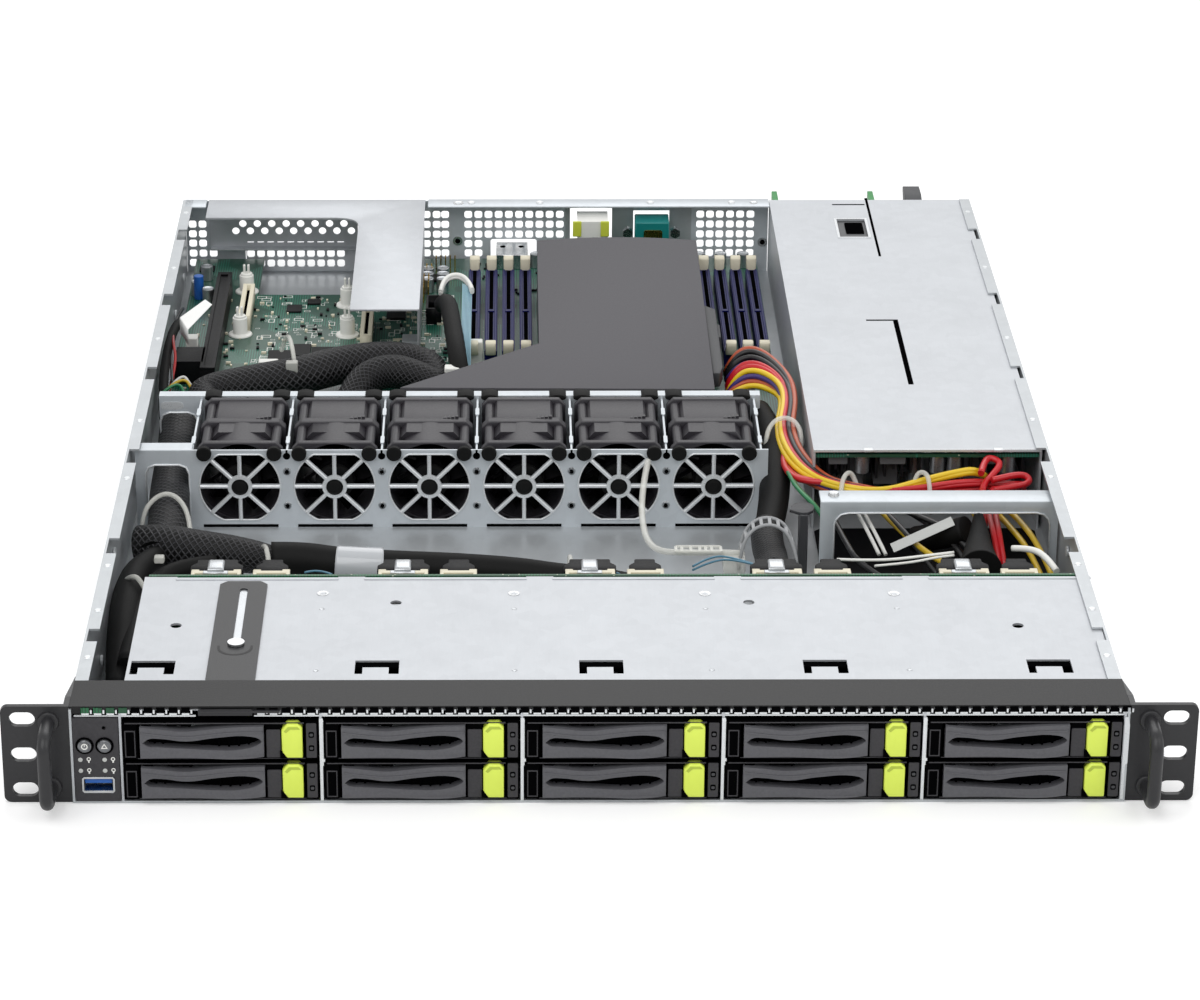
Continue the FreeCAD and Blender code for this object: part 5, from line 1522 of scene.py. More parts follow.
    def scatter_parts(self) -> None:
        """Places chips, cans, chokes, headers and passives on the open board."""
        random.seed(4)
        chips = [(-154, 462, 12, 14, 1.4), (-143, 470, 9, 16, 1.2), (-131, 466, 14, 14, 1.6),
            (-100, 560, 18, 18, 2), (-150, 530, 8, 10, 1), (-140, 540, 7, 7, 1),
            (-96, 520, 10, 12, 1.4), (-200, 590, 8, 8, 1), (-74, 575, 10, 10, 1.4),
            (-148, 405, 11, 9, 1.2), (-128, 392, 9, 9, 1.2)]
        blocks = []
        for x, y, wide, deep, tall in chips:
            blocks.append(soften(block("Chip", (x - wide / 2, y - deep / 2, self.top),
                (x + wide / 2, y + deep / 2, self.top + tall)), 0.2, 1))
        fit("board_chips", blocks, Finishes.chip_epoxy)
        form = block("Part", (-0.8, -0.45, 0), (0.8, 0.45, 0.7))
        places = []
        for _ in range(420):
            x, y = random.uniform(-204, -64), random.uniform(360, 549)
            places.append(about(x, y, self.top, random.choice((0, 90)), "Z",
                random.choice((0.8, 1, 1.5))))
        for _ in range(120):
            places.append(about(random.uniform(-56, 66), random.uniform(548, 600), self.top,
                random.choice((0, 90)), "Z", 1.2))
        half = len(places) // 2
        mount(spread("board_passives", form, places[:half], keep=True), Finishes.ivory_nylon)
        mount(spread("board_resistors", form, places[half:]), Finishes.chip_epoxy)
        marks = plate("Mark", Axis.Z, 0, 0.06, box_outline(-1.6, -1, 1.6, 1),
            box_outline(-1.35, -0.75, 1.35, 0.75))
        spots = [about(random.uniform(-168, -66), random.uniform(420, 549), self.top + 0.02,
            random.choice((0, 90)), "Z", random.choice((0.7, 1, 1.6))) for _ in range(260)]
        mount(spread("board_outlines", marks, spots), Finishes.white_nylon)
        self.stand_cans()
        self.stand_headers()

    def stand_cans(self) -> None:
        """Adds aluminium can capacitors and ferrite chokes round the processor."""
        can = rod("Can", Axis.Z, (0, 0, 0), 3.2, 8, 20)
        press(can, "+z", (0.4, (0, 0, -0.2)))
        soften(can, 0.25, 1)
        spots = [(-195.9, 541.2, self.top), (-202.5, 552, self.top), (-199, 575, self.top)]
        spots += [(-72 - 8 * (i % 2), 556 + 8 * (i // 2), self.top) for i in range(6)]
        spots += [(x, 594, self.top) for x in (-34, -22, 66, 78, 90)]
        mount(spread("can_capacitors", can, spots), Finishes.can)
        choke = soften(block("Choke", (-4, -4, 0), (4, 4, 6.5)), 0.6)
        spots = [(x, 436, self.top) for x in (-32, -18, -4, 10, 24, 38)]
        mount(spread("chokes", choke, spots), Finishes.choke)
        blue = rod("Sleeve", Axis.Z, (-201.3, 546.5, self.top), 2.6, 13, 18)
        mount(soften(blue, 0.3, 1), Finishes.port_blue)

    def stand_headers(self) -> None:
        """Adds pin headers, shrouded plugs and the ribbon's white sockets."""
        pins = []
        for x0, y0, columns, rows in ((-100, 590, 6, 2), (-82, 540, 2, 9), (-76, 585, 5, 2),
                (-96, 575, 8, 1)):
            for column in range(columns):
                for row in range(rows):
                    x, y = x0 + 2.54 * column, y0 + 2.54 * row
                    pins.append(block("Pin", (x - 0.32, y - 0.32, self.top),
                        (x + 0.32, y + 0.32, self.top + 9)))
        fit("header_pins", pins, Finishes.gold)
        shrouds = [plate("Shroud", Axis.Z, self.top, self.top + 9,
            box_outline(x, y, x + wide, y + deep),
            box_outline(x + 1, y + 1, x + wide - 1, y + deep - 1)) for x, y, wide,
            deep in ((-84, 398, 18, 9), (-100, 372, 22, 8), (-205, 428, 15, 18),
            (-80, 508, 8, 20))]
        shrouds.append(block("Box", (-205, 426, self.top), (-190.5, 446, 22)))
        fit("black_headers", shrouds, Finishes.black_nylon)
        whites = [soften(block("White", low, high), 0.4, 1) for low,
            high in (((-164, 445, self.top), (-154, 450, 14)),
            ((-68.5, 396, self.top), (-61, 402, 30)), ((-201, 452, self.top), (-195, 459, 24)),
            ((-58.5, 447, self.top), (-50, 452, 24)))]
        fit("white_sockets", whites, Finishes.white_nylon)

    def dress_ports(self) -> None:
        """Adds the stacked port, the network jack with its light windows, and the video port."""
        shell = soften(block("Shell", (-43.5, 590, self.top), (-26.5, 610.6, 18.2)), 0.3, 1)
        fit("stacked_port", [shell], Finishes.tin)
        # Near-black dots on the shell's top and near-black mouths at its rear: painted shade in
        # the openings.
        dots = [rod("Dot", Axis.Z, (x, 603, 18.2), 1.5, 0.15, 14) for x in (-40, -30)]
        mouths = [block("Mouth", (-42, 610.4, z), (-28, 610.8, z + 2.6)) for z in (10.6, 14.4)]
        fit("stacked_port_holes", dots + mouths, Finishes.black_abs_and_hole_shade)
        shell = plate("jack_face", Axis.Z, 36.8, 37.4, box_outline(0.2, 589.6, 16.8, 606))
        front = block("Front", (0.2, 589.4, 24), (16.8, 590.2, 37.2))
        fit("jack_shell", [shell, front], Finishes.white_nylon)
        glow = [soften(block("Glow", (x, 588.6, 29), (x + 4.6, 590, 37.6)), 0.3, 1)
            for x in (-2.2, 12.8)]
        fit("jack_windows", glow, Finishes.jack_green)
        nuts = [rod("Nut", Axis.Y, (x, 593, 29.2), 2.9, 4, 6) for x in (27.5, 53.2)]
        fit("video_nuts", nuts, Finishes.tin)
        body = soften(block("Body", (31.6, 592.5, 20.5), (49.9, 607, 35.6)), 0.5, 1)
        fit("video_body", [body], Finishes.video_teal)
        pad = plate("video_contacts", Axis.Y, 592.1, 592.6,
            box_outline(36.2, 26.4, 46.2, 31.4, 0.8))
        mount(pad, Finishes.gold)


# ---------------- rear end

@dataclass
class RearEnd:
    """Perforated rear wall, expansion bracket and the duct over the processor."""

    face: float = 612.0
    side: float = 4.2

    def build(self) -> None:
        """Builds the three sheet parts with what is fixed to them."""
        self.build_wall()
        self.build_riser()
        self.build_duct()

    def vents(self, columns: Sequence[float], rows: Sequence[float]) -> list[list[Point]]:
        """Gives the outlines of square vents with rounded corners.

        Args:
            columns: the X of their middles, in mm.
            rows: the Z of their middles.
        """
        half = self.side / 2
        return [box_outline(x - half, z - half, x + half, z + half, 0.8) for x in columns
            for z in rows]

    def build_wall(self) -> None:
        """Makes the rear wall with its vents and cut-outs, and the flange along its top."""
        rows = (33.8, 28.1, 22.4, 17, 11.6)
        holes = self.vents((67.5, 72.8, 78.1, 83.7, 89.2, 94.8), rows)
        holes += self.vents([-47.8 + 5.55 * step for step in range(8)], rows[:3])
        holes += self.vents((-58.8, -53.3), rows)
        holes += self.vents((-81.5, -76, -71.4), rows)
        holes += self.vents((-209, -203.6), (28.4, 22.8, 17.4, 11.6, 6.2))
        holes += self.vents((-198,), (11.6, 6.2))
        holes += [[(-188, 16), (-180.5, 16), (-180.5, 3), (-118.5, 3), (-118.5, 38), (-188, 38)],
            box_outline(-46.7, 9, -21.6, 19.6, 0.8), box_outline(-4.8, 9, 61.3, 38, 0.8),
            ring_outline(-64.6, 18.7, 1.2), ring_outline(101.6, 17.9, 1.2)]
        wall = plate("rear_wall", Axis.Y, self.face - 1, self.face,
            box_outline(-212.4, 1, 104.4, 41.6), *holes)
        flanges = [soften(plate("Flange", Axis.Z, 41.4, 42.4,
            box_outline(left, self.face - 12, right, self.face)), 0.35) for left,
            right in ((-212.4, -200.5), (-80.5, 104.4))]
        shield = plate("port_shield", Axis.Y, self.face - 1.4, self.face - 0.9,
            box_outline(-6, 8, 62.6, 38.6), box_outline(-3.4, 20, 19.4, 37.6),
            box_outline(31, 20, 50.6, 36.2))
        mount(shield, Finishes.tray_steel)
        fit("rear_wall", [wall] + flanges, Finishes.bracket_steel, "rear_panel")
        rims = [rod("Rim", Axis.Y, (x, self.face - 1.5, z), 2.6, 0.6, 20, 2.6) for x,
            z in ((-64.6, 18.7), (101.6, 17.9))]
        rims += [screw("Screw", -64, self.face - 6.5, 42.4, 3),
            screw("Screw", 96, self.face - 6.5, 42.4, 2.2)]
        fit("rear_wall_screws", rims, Finishes.tin)
        # A near-black disc in each screw rim's bore: painted shade.
        cores = [rod("Core", Axis.Y, (x, self.face - 1.7, z), 1.4, 0.4, 16) for x,
            z in ((-64.6, 18.7), (101.6, 17.9))]
        fit("rear_screw_holes", cores, Finishes.black_abs_and_hole_shade)

    def build_riser(self) -> None:
        """Makes the expansion bracket: bent top plate, leg, foot and pierced slot cover."""
        top = plate("Top", Axis.Z, 41.2, 42.2, [(-129, 583), (-123, 581.6, 1), (-118.4, 577, 1),
            (-117, 571), (-117, 446), (-82, 446), (-82, 611.8), (-199.5, 611.8), (-199.5, 583)])
        leg = plate("Leg", Axis.X, -83.2, -82.2, [(452, 14), (590, 14), (590, 41.4), (452, 41.4)])
        foot = soften(block("Foot", (-91.6, 470.4, 9.9), (-82.2, 481.6, 15)), 0.5)
        columns = [-177.5 + 5.45 * step for step in range(10)]
        cover = plate("Cover", Axis.Y, 609.6, 610.6, [(-199.5, 15.9), (-180, 15.9), (-180, 2),
            (-119, 2), (-119, 41.4), (-199.5, 41.4)], *self.vents(columns, (11.9, 6.3)),
            *[ring_outline(-185.4 + 7.86 * step, 25, 2) for step in range(9)],
            *[ring_outline(-181.5 + 7.86 * step, 29.2, 2) for step in range(8)],
            *[box_outline(x - 1.8, 18.2, x + 1.8, 18.9) for x in columns])
        ledge = block("Ledge", (-199, 604.6, 15.4), (-119, 610, 16.2))
        fit("expansion_bracket", [soften(top, 0.3), soften(leg, 0.2, 1), foot, cover,
            soften(ledge, 0.2, 1)], Finishes.lid_steel, "riser_bracket")

    def build_duct(self) -> None:
        """Makes the moulded duct with a bowed rear edge, its walls and its dark side flap."""
        top = plate("Top", Axis.Z, 39, 40.4, [(-89, 346), (62.6, 343.5), (62.6, 552),
            (42, 555.6, 1), (20.5, 556.8, 1), (-1, 555.6, 1), (-21.7, 552), (-21.7, 404)])
        walls = [plate("Wall", Axis.Z, 12.3, 39.2, outline)
            for outline in (box_outline(61.2, 345, 62.6, 551), box_outline(-21.7, 405, -20.3, 551),
            [(-87, 347.6), (-85, 347.6), (-20.3, 403.8), (-21.7, 405.2)])]
        fit("air_duct_shell", [soften(top, 0.5)] + [soften(w, 0.3, 1) for w in walls],
            Finishes.duct_sheet, "air_duct", body="air_duct")
        flap = plate("Flap", Axis.Z, 30, 37.6, [(62.7, 464), (68.4, 458), (68.4, 380), (66.6, 371),
            (62.7, 371)])
        lug = block("Lug", (62.7, 436, 22), (70.5, 454, 31))
        fit("duct_flap", [soften(flap, 0.8), soften(lug, 0.8)], Finishes.grip_grey,
            body="air_duct")


# ---------------- power

@dataclass
class PowerBay:
    """Cage of the two power modules, its distribution board and the bridge before it."""

    left: float = 104.8
    right: float = 211.0
    front: float = 267.0
    top: float = 41.3
    module_pitch: float = 52.6
    module_rear: float = 617.0
    bridge_front: float = 209.5

    def build(self) -> None:
        """Builds cage, modules and bridge."""
        carve("psu_cage", CHASSIS, self.finish_of)
        self.add_lid_details()
        self.add_board_details()
        for index in (1, 2):
            self.add_module(index)
        self.build_bridge()

    @staticmethod
    def finish_of(low: Vector, high: Vector) -> Finish | None:
        """Gives a solid's finish from its corners."""
        size = high - low
        if size.y > 200:
            return Finishes.lid_steel
        if size.x > 90:
            return Finishes.board_mask
        if abs(size.x - size.y) < 1 and size.x < 9:
            return Finishes.can
        return Finishes.choke if size.x < 20 else Finishes.black_nylon

    def add_lid_details(self) -> None:
        """Adds the lid's front fold and tabs, and the lever seen through its window."""
        fold = soften(block("Fold", (self.left, self.front - 0.25, self.top - 1.4),
            (self.right, self.front + 0.5, self.top + 0.05)), 0.2)
        tabs = [soften(block("Tab", (x - 2.2, self.front - 1.6, self.top - 0.9),
            (x + 2.2, self.front + 1.5, self.top + 0.45)), 0.35) for x in (130.2, 190.6)]
        rim = plate("Rim", Axis.Z, self.top - 0.1, self.top + 0.3,
            box_outline(137.8, 552.5, 155.4, 583), box_outline(139.1, 553.8, 154.1, 581.7))
        fit("power_lid_edges", [fold, rim] + tabs, Finishes.edge_steel)
        # Near-black strips along the lid's grooves: painted shade.
        grooves = [block("Groove", (157, 524.8, 40.3), (158.4, 616.6, 41.1)),
            block("Groove", (138.6, 604.6, 41.1), (156.2, 606, 41.38)),
            block("Groove", (156.4, 347, 40.3), (158.7, 433.4, 41.1)),
            block("Groove", (143, 431.6, 40.3), (158.7, 433.4, 41.1))]
        fit("power_lid_grooves", grooves, Finishes.black_abs_and_hole_shade)
        well = block("Well", (139.3, 554, 39.95), (154, 581.6, 40.1))
        paddle = soften(block("Paddle", (143, 562, 40.05), (152.6, 578, 40.9)), 0.3, 1)
        fit("power_lid_well", [coat(well, Finishes.choke), coat(paddle, Finishes.black_abs_and_hole_shade)],
            Finishes.choke)

    def add_board_details(self) -> None:
        """Adds cans, coils, solder pins and a heat sink under the distribution board."""
        random.seed(8)
        z = 36.8
        can = soften(rod("Can", Axis.Z, (0, 0, -9), 3.4, 9, 18), 0.3, 1)
        mount(spread("power_cans", can, [(x, 272.5, z) for x in (128, 163, 171, 196)]),
            Finishes.can)
        fins = [block("Fin", (x, 270, 25 + random.uniform(0, 5)), (x + 1.2, 290, z)) for x in (112,
            115, 118, 121, 134, 138, 142, 146, 150, 154, 178, 183, 202)]
        fit("power_fins", fins, Finishes.sink)
        bar = [soften(block("Bar", (x, 269.4, z - 4.2), (x + wide, 272, z)), 0.3, 1) for x,
            wide in ((112, 9), (136, 12), (184, 8))]
        fit("power_blocks", bar, Finishes.choke)
        blobs = [rod("Blob", Axis.Z, (random.uniform(107, 209), 268.6 + 2 * (i % 2), 39.3),
            random.uniform(0.6, 1.6), 0.8, 10, 0.4) for i in range(26)]
        fit("power_solder", blobs, Finishes.tin)

    def add_module(self, index: int) -> None:
        """Dresses one power module and adds its inlet, fan grille, handle and latch tab.

        Args:
            index: 1 for the left module, 2 for the right.
        """
        body = f"power_module_{index}"
        carve(f"psu_latch_{index}", f"power_latch_{index}", lambda low, high: Finishes.tab_green,
            0.35)
        left, rear = self.left + 1.3 + self.module_pitch * (index - 1), self.module_rear
        box = block(f"module_{index}_case", (left, 332, 1.6), (left + 51, rear, 39.9))
        mount(coat(soften(box, 0.5), Finishes.tray_steel), Finishes.tray_steel,
            f"psu_module_{index}", body=body)
        inlet = plate("Inlet", Axis.Y, rear, rear + 1.2,
            box_outline(left + 23.5, 14.6, left + 49.2, 33.6, 1.6),
            box_outline(left + 26.4, 17.4, left + 46.4, 30.8, 3))
        # The inlet's well and the three vent slots are near-black: painted shade.
        well = plate("Well", Axis.Y, rear, rear + 0.3,
            box_outline(left + 26, 17, left + 46.8, 31.2, 3))
        pins = [block("Pin", (left + u, rear + 0.2, z), (left + u + 1.8, rear + 1.1, z + 4)) for u,
            z in ((30, 20), (41, 20), (35.5, 25))]
        grip = plate("Grip", Axis.Z, 3.4, 12.6, [(left + 25.2, rear), (left + 29.2, rear),
            (left + 29.2, rear + 19.6), (left + 44.2, rear + 19.6), (left + 44.2, rear),
            (left + 48.2, rear), (left + 48.2, rear + 22), (left + 46.2, rear + 24.2),
            (left + 27.2, rear + 24.2), (left + 25.2, rear + 22)])
        vents = [block("Vent", (left + 4 + 5.2 * i, rear, 30.5),
            (left + 7.4 + 5.2 * i, rear + 0.3, 36)) for i in range(1, 4)]
        mouldings = [coat(soften(inlet, 0.4), Finishes.grip_grey),
            coat(soften(grip, 0.9, 3), Finishes.grip_grey),
            coat(join("Dark", [well] + vents), Finishes.black_abs_and_hole_shade),
            coat(join("Pins", pins), Finishes.tin)]
        if index == 2:
            hook = plate("Hook", Axis.X, left + 21.4, left + 30.4, [(rear, 33), (rear + 20, 33),
                (rear + 24, 37.6), (rear + 24, 39.4), (rear + 9, 39.4), (rear, 36)])
            mouldings.append(coat(soften(hook, 0.4), Finishes.grip_grey))
        fit(f"module_{index}_mouldings", mouldings, Finishes.grip_grey, body=body)
        rings = [tube("Ring", [Vector((left + 11.5 + r * math.cos(a), rear + 0.5,
            17 + r * math.sin(a))) * MM for a in (math.radians(15 * k) for k in range(25))], 0.5,
            6) for r in (3, 6.2, 9.4)]
        rings += [block("Wire", (left + 1.6, rear + 0.2, 16.6), (left + 21.4, rear + 0.9, 17.4)),
            block("Wire", (left + 11.1, rear + 0.2, 7), (left + 11.9, rear + 0.9, 27))]
        fit(f"module_{index}_grille", rings, Finishes.tin, body=body)

    def build_bridge(self) -> None:
        """Makes the folded bridge with its rimmed window, front flange and screw."""
        left, right, y = self.left - 0.8, self.right + 0.6, self.bridge_front
        window = [(110.4, 1), (208, 1), (208, 28.5), (207.2, 31.4, 1), (205, 33.8, 1),
            (201.6, 34.6), (116.8, 34.6), (113.4, 33.8, 1), (111.2, 31.4, 1), (110.4, 28.5)]
        web = plate("Web", Axis.Y, y, y + 1, [(left, 1), (110.4, 1), (110.4, 28.5),
            (111.2, 31.4, 1), (113.4, 33.8, 1), (116.8, 34.6), (201.6, 34.6), (205, 33.8, 1),
            (207.2, 31.4, 1), (208, 28.5), (208, 1), (right, 1), (right, 39.9), (left, 39.9)])
        flange = block("Flange", (left, y, 39.2), (right, y + 13, 40.2))
        fit("power_bridge", [soften(web, 0.3), soften(flange, 0.5, 3)], Finishes.bracket_steel,
            "cross_bracket")
        line = [Vector((p[0], y - 0.1, p[1])) * MM for p in window[2:] + window[:1]]
        mount(tube("bridge_window_rim",
            [line[-1]] + line[::-1][1:] + [Vector((208, y - 0.1, 1)) * MM], 0.45, 8),
            Finishes.edge_steel)
        head = screw("Screw", 110.4, y + 7.6, 40.2, 2.7, sunk=False)
        fit("bridge_screw", [head], Finishes.tin)


# ---------------- cables

@dataclass
class CableRuns:
    """Wires, braided sleeves, ties and straps between the boards."""

    def build(self) -> None:
        """Builds every run; the first of each kind stands for its CAD harness."""
        self.run_power_wires()
        self.run_sleeves()
        self.run_loose_wires()
        self.tie_bundles()
        self.add_straps()
        self.add_flag()

    def run_power_wires(self) -> None:
        """Runs the supply wires from the board's inlet, round the cage, to the board under it."""
        red, yellow, black = "#c41420", "#e6c21a", "#161416"
        orange, purple = "#b4502c", "#3a2a72"
        wires = [(orange, 398, 41), (orange, 396, 40), (black, 394, 41), (black, 392, 39),
            (black, 389, 40), (purple, 386, 38), (black, 384, 36), (red, 380, 40.4),
            (red, 378, 39.4), (red, 376, 40.2), (red, 373, 39), (orange, 371, 37),
            (yellow, 372, 39.6), (orange, 369, 35), (yellow, 366, 34), (purple, 370, 37.4)]
        groups: dict[str, list[Piece]] = {}
        for index, (colour, y, height) in enumerate(wires):
            share = (y - 366) / 32
            side = 7.5 * (share - 0.5)
            lift = (1.6, -2.4, 0.4, -1.2)[index % 4]
            points = [(70.5, y, 27), (75, y + 1, height - 3), (84 + 3 * share, y - 1, height),
                (93.5 + 6.5 * share, 364 - 6 * (1 - share), height - 1.5),
                (95 + 6.5 * share, 338, 35.5 + lift), (93.8 + side, 311, 31.5 + 1.6 * lift),
                (96.6 + side, 284, 29.5 + 1.8 * lift),
                (105.5 + side * 1.1, 262 - 3 * share, 29 + lift),
                (119 + side * 0.3, 250 + side * 0.5, 28.5 + lift)]
            if colour == black or colour == purple or index in (0, 1, 11, 13):
                points += [(135, 247 + side * 0.4, 27 + lift), (152, 249, 20), (160, 262, 12)]
            else:
                rise = 2 if colour == yellow else 0
                points += [(136, 247.5 + side * 0.5, 27.5 + lift),
                    (153.6, 249 + 2 * rise, 28 + lift + rise),
                    (168, 253 + side * 0.4 + 2.5 * rise, 29 + lift + 1.5 * rise),
                    (180, 255 + side * 0.5 + 2 * rise, 29 + lift + 2.5 * rise)]
                points += ([(193, 256 + side, 29), (202.5, 254 + side, 28 + lift)] if colour == red
                    else [(188, 264, 26), (190, 270, 22)])
            groups.setdefault(colour, []).append(tube("Wire", route(points, 6), 1.45, 8))
        names = ["power_harness"]
        for colour, made in groups.items():
            fit(f"power_wires_{colour[1:]}", made, Finishes.wire(colour), *names)
            names = []
        loops = [[(96, 306, 29), (91.8, 290, 29), (92.6, 268, 29), (101, 256.5, 29),
            (118, 255, 30)], [(97, 306, 27), (93.2, 286, 27), (95.6, 266, 28), (104, 258.5, 29),
            (119, 253, 29)], [(181, 251, 36), (183.4, 262, 37), (187, 267, 37.5), (192, 263, 36),
            (187, 256, 33), (182, 250, 31), (181.5, 244, 27), (182, 236, 16)], [(186, 250, 33),
            (196, 254, 34), (203, 256, 33), (204, 251, 31), (196, 249, 30), (186, 248, 29)]]
        fit("red_loops", cords(loops, 1.6), Finishes.wire(red))
        greens = [[(93, 272, 29), (94, 260, 30), (95.8, 247, 31), (99.3, 234.5, 31.5),
            (104, 226, 30), (108, 220, 24)], [(94.6, 272, 27), (95.6, 260, 28), (97.4, 247, 29.5),
            (101, 235.5, 30), (106, 227, 27), (109, 220, 22)]]
        fit("green_wires", cords(greens, 1), Finishes.wire("#1f7a4a"))

    def sleeve(self, points: Sequence[Point], radius: float | Callable[[float], float],
            flat: float = 1) -> Piece:
        """Makes one sleeve.

        Args:
            points: control points, in mm.
            radius: as for tube.
            flat: how much its height is pressed, 1 for round.
        """
        path = route(points, 10)
        made = tube("Sleeve", path, radius, 24)
        if flat != 1:
            middle = sum((p.z for p in path)) / len(path)
            made.data.transform(Matrix.Translation((0, 0, middle))
                @ Matrix.Diagonal((1, 1, flat, 1)) @ Matrix.Translation((0, 0, -middle)))
        return made

    def run_sleeves(self) -> None:
        """Runs the braided sleeves along the left wall, before the fans and over the board."""
        def belly(low: float, high: float) -> Callable[[float], float]:
            return lambda share: low + (high - low) * math.sin(math.pi * share)

        runs = [self.sleeve([(-197, 352, 17), (-196, 320, 15), (-195.4, 290, 17),
            (-194.6, 262, 19), (-193, 240, 18), (-193, 222, 15), (-196, 205, 14)], 9.4),
            self.sleeve([(-204, 216, 15), (-196, 214, 17), (-178, 206, 18), (-160, 200, 19),
            (-146, 193, 20), (-138, 188, 20)], lambda share: 10.2 - 4.2 * share ** 2),
            self.sleeve([(-182, 374, 17), (-188, 386, 18), (-187, 395, 19), (-166, 402, 20),
            (-141, 409, 21), (-122, 421, 22), (-101, 427, 23), (-84, 425, 23), (-73, 414, 22),
            (-71, 398, 19)], belly(7, 9.6)), self.sleeve([(-118, 380, 14), (-113, 398, 20),
            (-100, 406, 25), (-86, 402, 26), (-70, 392, 24)], belly(5.5, 8.4)),
            self.sleeve([(81, 226, 19), (80, 204, 21), (81, 186, 23), (80, 158, 28)], 7.4)]
        fit("braided_sleeves", runs, Finishes.sleeve, "signal_harness")
        smooth = [self.sleeve([(84.2, 346, 28), (88, 322, 28), (89.4, 300, 25), (88, 276, 22),
            (86, 254, 19), (82, 228, 18), (80, 206, 20)], belly(5.6, 7.2)),
            self.sleeve([(-143, 191, 20), (-130, 192, 20), (-112, 188, 19), (-92, 188, 18),
            (-60, 186, 18), (-32, 182, 18), (-14, 178, 17), (2, 176, 17), (20, 174, 14)],
            lambda share: 8.4 - 2.2 * share), self.sleeve([(-194, 206, 16), (-202, 192, 17),
            (-205, 168, 17), (-205, 140, 15), (-204, 110, 10), (-203, 84, 8)], belly(5, 7)),
            self.sleeve([(-168, 192, 18), (-184, 188, 18), (-196, 172, 17), (-200, 140, 15),
            (-200, 96, 14)], 4.2), self.sleeve([(-71, 500, 24), (-68.2, 486, 33), (-65, 444, 34),
            (-62, 405, 32), (-60, 394, 22)], 4.6), self.sleeve([(-206, 372, 14), (-208.4, 396, 20),
            (-208.6, 430, 26), (-207, 460, 28), (-205, 470, 26)], 2.4)]
        fit("plain_sleeves", smooth, Finishes.soft_rubber)
        tape = self.sleeve([(-113.8, 188.2, 19), (-104, 187.6, 18.6), (-93, 188, 18)], 8.9)
        fit("bundle_tape", [tape], Finishes.tape)

    def run_loose_wires(self) -> None:
        """Runs the wires seen through the bridge, the ribbon and the thin wires by the wall."""
        black, white, yellow, red = "#1a1a1c", "#d8d8d4", "#c9a81e", "#c41420"
        lines = {yellow: [[(128, 250, 26), (138, 228, 22), (150, 200, 20), (160, 184, 20)],
            [(188, 250, 24), (196, 222, 26), (203, 196, 22), (205, 172, 20)], [(184, 250, 22),
            (194, 216, 22), (200, 192, 18), (202, 170, 16)], [(176, 236, 24), (178, 214, 26),
            (179, 198, 22), (176, 186, 18)]], white: [[(118, 250, 28), (121, 226, 30),
            (126, 206, 26), (130, 196, 20)], [(121, 250, 28), (124, 226, 30), (129, 206, 26),
            (133, 196, 20)]], red: [[(181, 246, 30), (182, 226, 28), (183.4, 206, 22),
            (183.4, 190, 16)], [(186, 246, 30), (185, 226, 28), (185.6, 206, 22), (186, 192, 16)]],
            black: [[(130, 250, 24), (140, 224, 24), (150, 200, 18), (156, 186, 14)],
            [(136, 250, 22), (150, 226, 26), (166, 206, 26), (172, 196, 20)], [(142, 248, 22),
            (156, 220, 24), (168, 200, 20), (170, 190, 14)], [(112, 240, 20), (116, 216, 18),
            (122, 196, 14), (140, 180, 10)]]}
        for colour, paths in lines.items():
            fit(f"bay_wires_{colour[1:]}",
                [tube("Wire", route(p, 6), 0.9 if colour == white else 1.4, 8) for p in paths],
                Finishes.wire(colour))
        sheet = plate("insulating_sheet", Axis.Z, 1.2, 1.6, box_outline(106, 146, 209, 266, 3))
        mount(sheet, Finishes.black_nylon)
        cone = self.sleeve([(176, 216, 34), (175, 200, 30), (173, 184, 26), (172, 166, 26)],
            lambda share: 1.4 + 8.4 * share)
        cuff = self.sleeve([(150, 226, 14), (160, 212, 22), (170, 206, 28)], 6.2)
        fit("bay_sleeves", [cone, cuff], Finishes.soft_rubber)
        label = plate("label_strip", Axis.Z, -0.15, 0.15, box_outline(-15, -2.4, 15, 2.4))
        label.data.transform(Matrix.Translation((0.150, 0.2045, 0.0262))
            @ Matrix.Rotation(math.radians(-24), 4, "Y") @ Matrix.Rotation(math.radians(6), 4, "Z")
            @ Matrix.Rotation(math.radians(38), 4, "X"))
        mount(label, Finishes.lens)
        pale = [[(108, 163, 33), (126, 160, 33.5), (146, 164, 34), (160, 168, 34)],
            [(124, 156, 33), (140, 158, 33.5), (152, 163, 34), (160, 167, 33)], [(186, 170, 35),
            (194, 166, 37), (200, 158, 36), (203, 148, 34)]]
        fit("pale_wires", [tube("Wire", route(p, 8), r, 8) for p, r in zip(pale, (0.7, 0.6, 1.5))],
            Finishes.white_nylon)
        blues = [[(44, 152, 33 + h), (52, 160 + h, 33.5 + h), (62, 163 + h, 33.5), (74, 158, 32)]
            for h in (0, 1.8)]
        blues += [[(-126, 150, 33), (-120, 154, 33), (-114, 150, 32)],
            [(0, 150, 33), (6, 154, 33), (12, 150, 32)]]
        fit("blue_wires", cords(blues, 0.5), Finishes.wire("#4a7c94"))
        ribbon = plate("Ribbon", Axis.X, -0.25, 0.25, [(416, 22), (430, 31, 1), (461, 34.6, 1),
            (484, 35.4, 1), (494, 38), (490, 33.5), (461, 28, 1), (436, 22)])
        folds = [ribbon.copy() for _ in range(8)]
        for index, fold in enumerate(folds):
            fold.data = ribbon.data.copy()
            fold.data.transform(
                Matrix.Translation(((-60.4 + 0.62 * index) * MM, 0, -0.3 * index * MM)))
            bpy.context.scene.collection.objects.link(fold)
        bpy.data.objects.remove(ribbon)
        fit("pale_blue_ribbon", folds, Finishes.wire("#8fb8c8"))
        loop = [[(-72, 492, 33 + h), (-71, 501, 36.4 + h), (-64, 505.5, 38 + h),
            (-57.4, 499, 37 + h), (-55.6, 488, 35.5 + h)] for h in (0, 1.3)]
